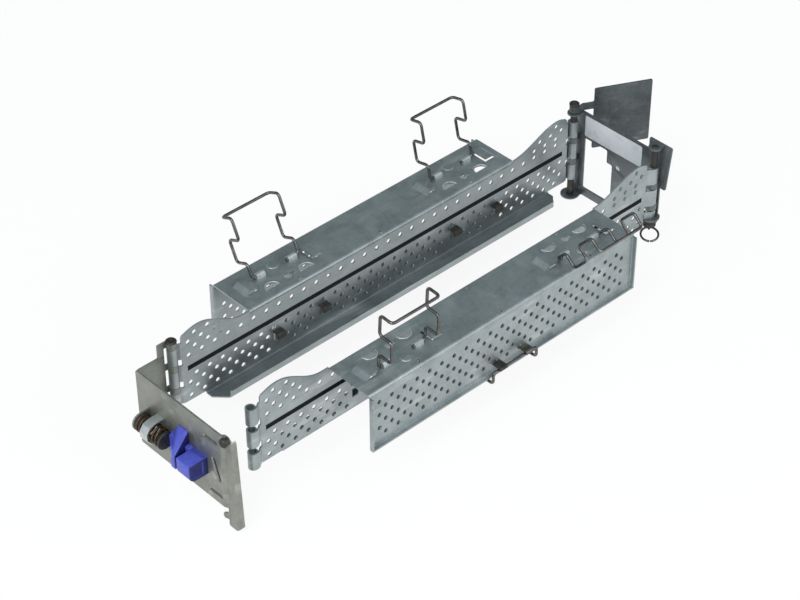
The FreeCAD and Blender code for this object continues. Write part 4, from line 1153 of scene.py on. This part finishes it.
# %% Spring strap and spring stop
FACE_X = -30.5  # the plate's outer face, where the latch slides
SPRING_X = FACE_X - 7.9
SPRING_Z = -13.0
ARCH_R = 8.65
STOP_R = 7.4
STRAP_Y = LATCH1 + 9.5
arch_leg = -30.0 - SPRING_X
arch = fold("bracket_arch", STRAP_Y, STRAP_Y + 8.0, 30.0, SPRING_Z - ARCH_R, 0,
            [arch_leg, (180, ARCH_R), arch_leg])
arch.data.transform(Matrix.Rotation(math.pi / 2, 4, "Z"))
soften(arch, 0.3)
dress(arch, "rail_bracket", "bracket_steel", ["bracket_strap"])
# The arch takes the lighter metal as a painted highlight.
arch.data.materials[0] = MATERIALS["strap_painted_highlight"]

lug = [(FACE_X, SPRING_Z + STOP_R), *arc_points(SPRING_X, SPRING_Z, STOP_R, 90, 270, 12),
       (FACE_X, SPRING_Z - STOP_R)]
stop = draw_plate("bracket_spring_stop", lug, "Y", LATCH1 + SPRING_L, PLATE)
choose(stop, "FACE", lambda centre, normal: abs(normal.y) > 0.9)
bpy.ops.mesh.inset(thickness=1.2 * MM, use_individual=True)
bpy.ops.mesh.inset(thickness=0.6 * MM, depth=-0.2 * MM, use_individual=True)
outward(stop)
dress(stop, "rail_bracket", "bracket_steel", ["bracket_stop"])

# %% [markdown]
# ## Hinge pins
# Each pin is turned: a domed head above, a long shank, and an end that was peened
# over below. A chamfer in front of each shoulder catches the light.

# %% Pins
PIN_R = 2.7


def hinge_pin(name, x, y, low, high):
    return turned(name, [
        (0, low), (2.6, low), (3.2, low + 0.5), (3.2, low + 1.1), (PIN_R, low + 1.5),
        (PIN_R, high - 1.7), (4.3, high - 1.6), (4.3, high - 0.8), (3.8, high - 0.3),
        (2.6, high - 0.05), (1.2, high), (0.9, high - 0.35), (0, high - 0.4)], (x, y, 0))


dress(hinge_pin("bracket_pin_turned", 0, SPACING, -36.1, 36.1),
      "rail_bracket", "dark_steel", ["bracket_pin"])
dress(hinge_pin("elbow_pin_turned", ARM, SPACING, -47.6, 46.2),
      "elbow", "dark_steel", ["elbow_pin"])

# %% [markdown]
# ## The sliding latch
# The latch is moulded plastic. Its finger lobes are drawn as solids with generous
# radii. The rear lobe starts as the outline of its root and is pulled out and
# narrowed to a slanted tip, which a mould draws along the same line. Below, the
# latch turns to dark metal where it carries the spring.

# %% Latch lobes
LOBE = 17.0
LOBE_X = FACE_X - LOBE
LATCH_FOOT = -24.0
LATCH_HEAD = -8.0
REAR_LOBE = (20.0, 3.0)  # where its root starts along the latch, and its height
base = block("base", (FACE_X - 5.0, LATCH0, LATCH_FOOT), (FACE_X, LATCH1, LATCH_HEAD))
soften(base, 0.9, 3)

section = [(FACE_X, LATCH_FOOT), *arc_points(LOBE_X + 6.0, LATCH_FOOT + 6.0, 6.0, 270, 180, 8),
           (LOBE_X, LATCH_HEAD), (FACE_X, LATCH_HEAD)]
front_lobe = draw_plate("front lobe", section, "Y", LATCH0, 14.5)
choose(front_lobe, "FACE", lambda centre, normal: normal.y < -0.9)
bpy.ops.mesh.inset(thickness=2.0 * MM)
bpy.ops.mesh.inset(thickness=0.5 * MM, depth=-0.5 * MM)
soften(front_lobe, 0.8, 3)

start, height = REAR_LOBE
root = [(LATCH0 + start, LATCH_FOOT), (LATCH1, LATCH_FOOT), (LATCH1, LATCH_HEAD - 1.0),
        (LATCH1 - 8.0, height), (LATCH0 + start, height)]
rear_lobe = draw_plate("rear lobe", root, "X", FACE_X, -LOBE)
choose(rear_lobe, "FACE", lambda centre, normal: centre.x < LOBE_X + 1)
bpy.ops.transform.resize(value=(1, 5.0 / (LATCH_W - start), 13.0 / (height - LATCH_FOOT)))
shift(0, -11.0, -4.0)
soften(rear_lobe, 1.1, 3)

# %% Latch seat and guide
seat = turned("seat", [(0, 0), (6.9, 0), (STOP_R, 0.5), (STOP_R, 1.5), (6.9, 2.0), (4.5, 2.0),
                       (4.5, 6.8), (3.3, 8.0), (0, 8.0)], (SPRING_X, LATCH1 - 2.0, SPRING_Z), "Y")
guide = (LATCH0 + 7.9, LATCH1 - 8.9)
neck = block("neck", (FACE_X - 1, guide[0], -18.1), (-28.5, guide[1], -13.9))
keeper = block("keeper", (-28.6, guide[0], -21.0), (-25.6, guide[1], -11.0))
latch = join("latch_moulding", [base, front_lobe, rear_lobe, seat, soften(neck, 0.4),
                                soften(keeper, 0.6)])
dress(latch, "latch", "blue_plastic", ["latch_slide"], 40)
second_finish(latch, "dark_steel",
              lambda centre, normal: centre.y > LATCH1 - 2.2 and centre.x < FACE_X - 3.0)

# %% [markdown]
# ## The latch spring
# A round wire section is screwed along the spring's axis for its seven turns. The
# piece gets a mesh of its own.

# %% Spring
coil = wire_section("latch_coil", 0.9, (6.5, 0, 0), (math.pi / 2, 0, 0), 12)
use(coil, "SCREW", steps=26, render_steps=26, iterations=7,
    screw_offset=(SPRING_L - 1.8) / 7 * MM, use_merge_vertices=False)
close_ends(coil)
coil.data.transform(moved(SPRING_X, LATCH1 + 0.9, SPRING_Z)
                    @ Matrix.Rotation(-math.pi / 2, 4, "X"))
dress(coil, "rail_bracket", "spring_steel", ["latch_spring"], 60)
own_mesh(coil)

# %% [markdown]
# ## The elbow
# The elbow is one upright plate with a stepped window and a round hole. Tabs are
# turned over at its ends to carry the pins, and eyes are curled between the arms'
# knuckles. The bare label is a thin film with round corners.

# %% Elbow web
WEB_X = 426.5
WEB_FOOT = -46.0
WEB_HEAD = 37.0
WEB_REAR = 95.5
WEB_HORN = (12.0, 48.0)  # half width and height of the part over the front hinge line
WEB_HOLE_Y = 43.5
WEB_CORNER = 1.6
horn, horn_top = WEB_HORN
web_outline = [(WEB_REAR, WEB_FOOT), (WEB_REAR, WEB_HEAD), (horn, WEB_HEAD), (horn, horn_top),
               (-horn, horn_top), (-8, 5), (-2, 5), (-2, -23), (horn, -23), (30.5, WEB_FOOT)]
web = draw_plate("elbow_web_plate", rounded(web_outline, WEB_CORNER), "X", WEB_X, PLATE)
window = [(80.5, -38), (80.5, 12), (55.5, 12), (55.5, 0), (49.5, 0), (49.5, -38)]
window_tool = draw_plate("window", rounded(window, WEB_CORNER), "X", WEB_X - 2, 6)
hole_tool = rod("hole", 2.5, (WEB_X, WEB_HOLE_Y, 0), 2 * THROUGH, "X", 24)
cut(web, [window_tool, hole_tool])
soften(web, 0.25)
dress(web, "elbow", "elbow_steel", ["elbow_web"])

# %% Elbow tabs and eyes
def tab_with_bore(y, z, radius, rear_edge, front_angle):
    """Tab turned over from the web, rounded round the pin and bored."""
    start = math.degrees(math.asin(rear_edge / radius))
    nose = arc_points(ARM, y, radius, start, front_angle, 18)
    outline = [(WEB_X + 0.2, y + rear_edge), *nose, (WEB_X + 0.2, nose[-1][1])]
    tab = draw_plate("tab", outline, "Z", z, PLATE)
    cut(tab, [rod("bore", KNUCKLE_IN, (ARM, y, z), 2 * THROUGH)])
    return soften(tab, 0.22)


def elbow_lugs(name, node, y, tabs):
    """The tabs and the two eyes on one hinge line."""
    eyes = [curl(ARM, y, z - 2.6, z + 2.6, 1, WEB_X + 0.3 - ARM) for z in (10.5, -10.5)]
    lugs = [tab_with_bore(y, *tab) for tab in tabs] + eyes
    dress(join(name, lugs), "elbow", "elbow_steel", [node])


elbow_lugs("elbow_tabs_rear", "elbow_lugs_rear", SPACING,
           [(35.5, 5.5, 4.5, 305.0), (-46.0, 8.0, 7.0, 299.0)])
elbow_lugs("elbow_tabs_front", "elbow_lugs_front", 0,
           [(46.5, 5.5, 4.5, 305.0), (-21.8, 8.0, 7.0, 324.0)])

# %% Bare label
label = rounded(box_points(18.5, 14.5, 80.5, 34.5), 1.5)
film = draw_plate("elbow_bare_label", label, "X", WEB_X - 0.02, -0.26)
soften(film, 0.08)
dress(film, "elbow", "bare_label", ["elbow_label"])

# %% [markdown]
# ## Pull pin, cap and ring
# The front hinge's pin can be pulled out downward. Its cap is turned with a waist
# for the fingers, a small eye hangs below it, and a wire ring with a butt seam
# passes through the eye.

# %% Pull pin and cap
pin = turned("pull_pin_turned", [
    (0, -26.1), (PIN_R, -26.1), (PIN_R, 45.6), (2.3, 46.0), (2.3, 46.8), (PIN_R, 47.1),
    (PIN_R, 47.8), (2.2, 48.3), (0, 48.3)], (ARM, 0, 0))
dress(pin, "pull_pin", "dark_steel", ["pull_pin"])
cap = turned("pin_cap_turned", [
    (0, -30.1), (4.6, -30.1), (5.4, -29.4), (5.4, -28.0), (4.6, -27.2), (4.4, -26.0),
    (4.9, -25.2), (6.5, -24.4), (6.5, -22.7), (5.9, -22.1), (2.78, -22.1), (2.78, -26.0),
    (0, -26.0)], (ARM, 0, 0))
dress(cap, "pull_pin", "dark_steel", ["pin_cap"])

# %% Eye and ring
RING_Z = -32.2
RING_R = 7.2
AROUND_PIN = moved(ARM, 0, 0) @ Matrix.Rotation(math.radians(47), 4, "Z")
eye = turned("eye", [
    (1.2, -0.6), (1.45, -0.9), (1.85, -0.9), (2.1, -0.6), (2.1, 0.6), (1.85, 0.9),
    (1.45, 0.9), (1.2, 0.6), (1.2, -0.6)], (0, 0, RING_Z), "Y", 24)
stalk = turned("stalk", [(0, RING_Z + 1.5), (0.9, RING_Z + 1.5), (0.9, -30.3), (1.4, -29.9),
                         (0, -29.9)], (0, 0, 0), steps=16)
eye = join("cap_eye_turned", [eye, stalk])
eye.data.transform(AROUND_PIN)
dress(eye, "pull_pin", "dark_steel", ["cap_eye"])

ring = wire_section("pull_ring_wire", 0.9, (0, 0, -2 * RING_R), (math.pi / 2, 0, 0))
choose(ring, "EDGE", lambda a, b: True)
bpy.ops.mesh.spin(steps=48, angle=math.radians(356), center=(0, 0, -RING_R * MM),
                  axis=(1, 0, 0))
close_ends(ring)
ring.data.transform(AROUND_PIN @ moved(0, 0, RING_Z) @ Matrix.Rotation(math.radians(75), 4, "Y"))
dress(ring, "pull_ring", "bright_wire", ["pull_ring"], 60)

# %% [markdown]
# ## The stop plate
# A plain plate with a strap that ends in a curled eye on the rear hinge pin. It is
# drawn flat along the X axis and then swung to its place behind the elbow.

# %% Stop plate
EYE0, EYE1 = 37.5, 44.1
panel_outline = [(7.0, EYE0), (17, EYE0), (17, -2), (67, -2), (67, 57), (17, 57), (17, EYE1),
                 (7.0, EYE1)]
panel = draw_plate("panel", rounded(panel_outline, 1.6), "Y", -0.7, 1.4)
soften(panel, 0.3)
stop_plate = join("stop_plate_sheet", [panel, curl(0, 0, EYE0, EYE1, 1)])
stop_plate.data.transform(moved(ARM, SPACING, 0) @ Matrix.Rotation(math.radians(-27), 4, "Z"))
dress(stop_plate, "stop_plate", "stop_steel", ["stop_plate"])

# %% [markdown]
# ## Light, floor and camera
# The photograph has soft even light and a white ground. Seen from the photograph's
# place, the holes of the upright sheets are dark, because shade lies behind them. The
# ground's material works out where a line from the camera meets each sheet and is
# dark there. The room is bright in front, so the upright faces are light, and dim
# behind, so the level faces are darker.

# %% Camera measures
# The picture is 800 by 600. The camera's place and lens were solved from the arms.
CAMERA = Vector((-0.74208, -0.95333, 1.10171))
RIGHT = Vector((0.73073, -0.68265, -0.00343))
UP = Vector((0.4322, 0.45874, 0.77638))
FORWARD = Vector((0.52842, 0.56881, -0.63026))
PICTURE_W = 800
LENS_PIXELS = 2301.96
SENSOR_W = 36.0

# %% The ground's material
# The shade is drawn only under the arm, where the sky is partly covered, and only
# for a ray that comes from the camera's own place.
FLOOR_Z = -66.0
DARK_GROUND = (0.05, 0.055, 0.06, 1)
GLOW_SHARE = 0.9
paper = bpy.data.materials.new("white ground")
paper.use_nodes = True
tree = paper.node_tree
tree.nodes.remove(tree.nodes["Principled BSDF"])
spot = add(tree, "ShaderNodeNewGeometry").outputs
here = add(tree, "ShaderNodeSeparateXYZ", spot["Position"]).outputs
roof = add(tree, "ShaderNodeAmbientOcclusion", samples=8, Distance=0.16)
to_lens = add(tree, "ShaderNodeVectorMath", CAMERA, spot["Position"], operation="SUBTRACT")
straight = add(tree, "ShaderNodeVectorMath", to_lens.outputs[0], operation="NORMALIZE")
aligned = add(tree, "ShaderNodeVectorMath", straight.outputs[0], spot["Incoming"],
              operation="DOT_PRODUCT")
covered = math_node(tree, "MULTIPLY", ramp(tree, roof.outputs["AO"], 0.985, 0.86),
                    ramp(tree, aligned.outputs["Value"], 0.9990, 0.9998))


def shade_behind(axis, plane, low, high, z0, z1, edge=3.0):
    """Ground that an upright sheet hides from the camera: 1 in its shade, 0 outside."""
    other = "X" if axis == "Y" else "Y"
    eye = {"X": CAMERA.x, "Y": CAMERA.y}
    reach = math_node(tree, "SUBTRACT", here[axis], eye[axis])
    part = math_node(tree, "DIVIDE", plane * MM - eye[axis], reach)
    across = math_node(tree, "MULTIPLY", part,
                       math_node(tree, "SUBTRACT", here[other], eye[other]))
    up = math_node(tree, "MULTIPLY", part, FLOOR_Z * MM - CAMERA.z)
    result = covered
    for value, start, first, last in ((across, eye[other], low, high), (up, CAMERA.z, z0, z1)):
        for limit, inner in ((first, first + edge), (last, last - edge)):
            within = ramp(tree, value, limit * MM - start, inner * MM - start)
            result = math_node(tree, "MULTIPLY", result, within)
    return result


shaded = shade_behind("Y", -DEPTH, TRAY0, TRAY1, WALL_BOTTOM - 2, TOP + 2)
for sheet_shade in (shade_behind("Y", SPACING, TRAY0 + 18, TRAY1 - 14, BOTTOM, BEAD, 6.0),
                    shade_behind("X", PLATE_X, FRONT, FRONT + 34, -44, 19, 2.0),
                    shade_behind("X", WEB_X, 39, 48, -5, 5, 1.0)):
    shaded = math_node(tree, "MAXIMUM", shaded, sheet_shade)
matt = add(tree, "ShaderNodeBsdfDiffuse",
           Color=mix(tree, shaded, (0.92, 0.92, 0.92, 1), DARK_GROUND))
glow = add(tree, "ShaderNodeEmission", Color=mix(tree, shaded, (1, 1, 1, 1), DARK_GROUND))
rays = add(tree, "ShaderNodeLightPath").outputs
seen = math_node(tree, "MAXIMUM", rays["Is Camera Ray"], rays["Is Glossy Ray"])
seen = math_node(tree, "MAXIMUM", seen, rays["Is Transmission Ray"])
share = math_node(tree, "MULTIPLY", seen, GLOW_SHARE)
blend = add(tree, "ShaderNodeMixShader", share, matt.outputs[0], glow.outputs[0])
tree.links.new(blend.outputs[0], tree.nodes["Material Output"].inputs["Surface"])

# %% Floor
clear()
bpy.ops.mesh.primitive_plane_add(size=30, location=(0.2, 0.05, FLOOR_Z * MM))
floor = bpy.context.object
floor.name = "floor"
floor.data.materials.append(paper)

# %% World and lamps
AIM = Vector((0.21, 0.04, 0.0))  # the middle of the arm
ROOM_BACK = (0.60, 0.66, 0.45)
world = bpy.data.worlds.new("studio")
bpy.context.scene.world = world
world.use_nodes = True
tree = world.node_tree
place = add(tree, "ShaderNodeTexCoord")
facing = add(tree, "ShaderNodeVectorMath", place.outputs["Generated"], ROOM_BACK,
             operation="DOT_PRODUCT")
behind = ramp(tree, facing.outputs["Value"], 0.0, 0.9)
sky = tree.nodes["Background"].inputs
feed(tree, sky["Color"], mix(tree, behind, (0.84, 0.885, 0.94, 1), (0.25, 0.295, 0.30, 1)))
feed(tree, sky["Strength"], 1.0)


def lamp(name, place, size, power):
    data = bpy.data.lights.new(name, "AREA")
    data.size = size
    data.energy = power
    obj = bpy.data.objects.new(name, data)
    bpy.context.scene.collection.objects.link(obj)
    obj.location = place
    obj.rotation_euler = (AIM - Vector(place)).to_track_quat("-Z", "Y").to_euler()


lamp("left softbox", (-0.9, -0.4, 1.2), 0.7, 12)
lamp("front fill", (0.4, -1.4, 0.8), 0.9, 8)

# %% Camera
camera_data = bpy.data.cameras.new("camera")
camera_data.sensor_width = SENSOR_W
camera_data.lens = SENSOR_W * LENS_PIXELS / PICTURE_W
camera = bpy.data.objects.new("camera", camera_data)
bpy.context.scene.collection.objects.link(camera)
turn = Matrix((RIGHT, UP, -FORWARD)).transposed()
camera.matrix_world = Matrix.Translation(CAMERA) @ turn.to_4x4()
bpy.context.scene.camera = camera
bpy.context.scene.view_settings.view_transform = "Standard"

# %% Clear the selection
clear()
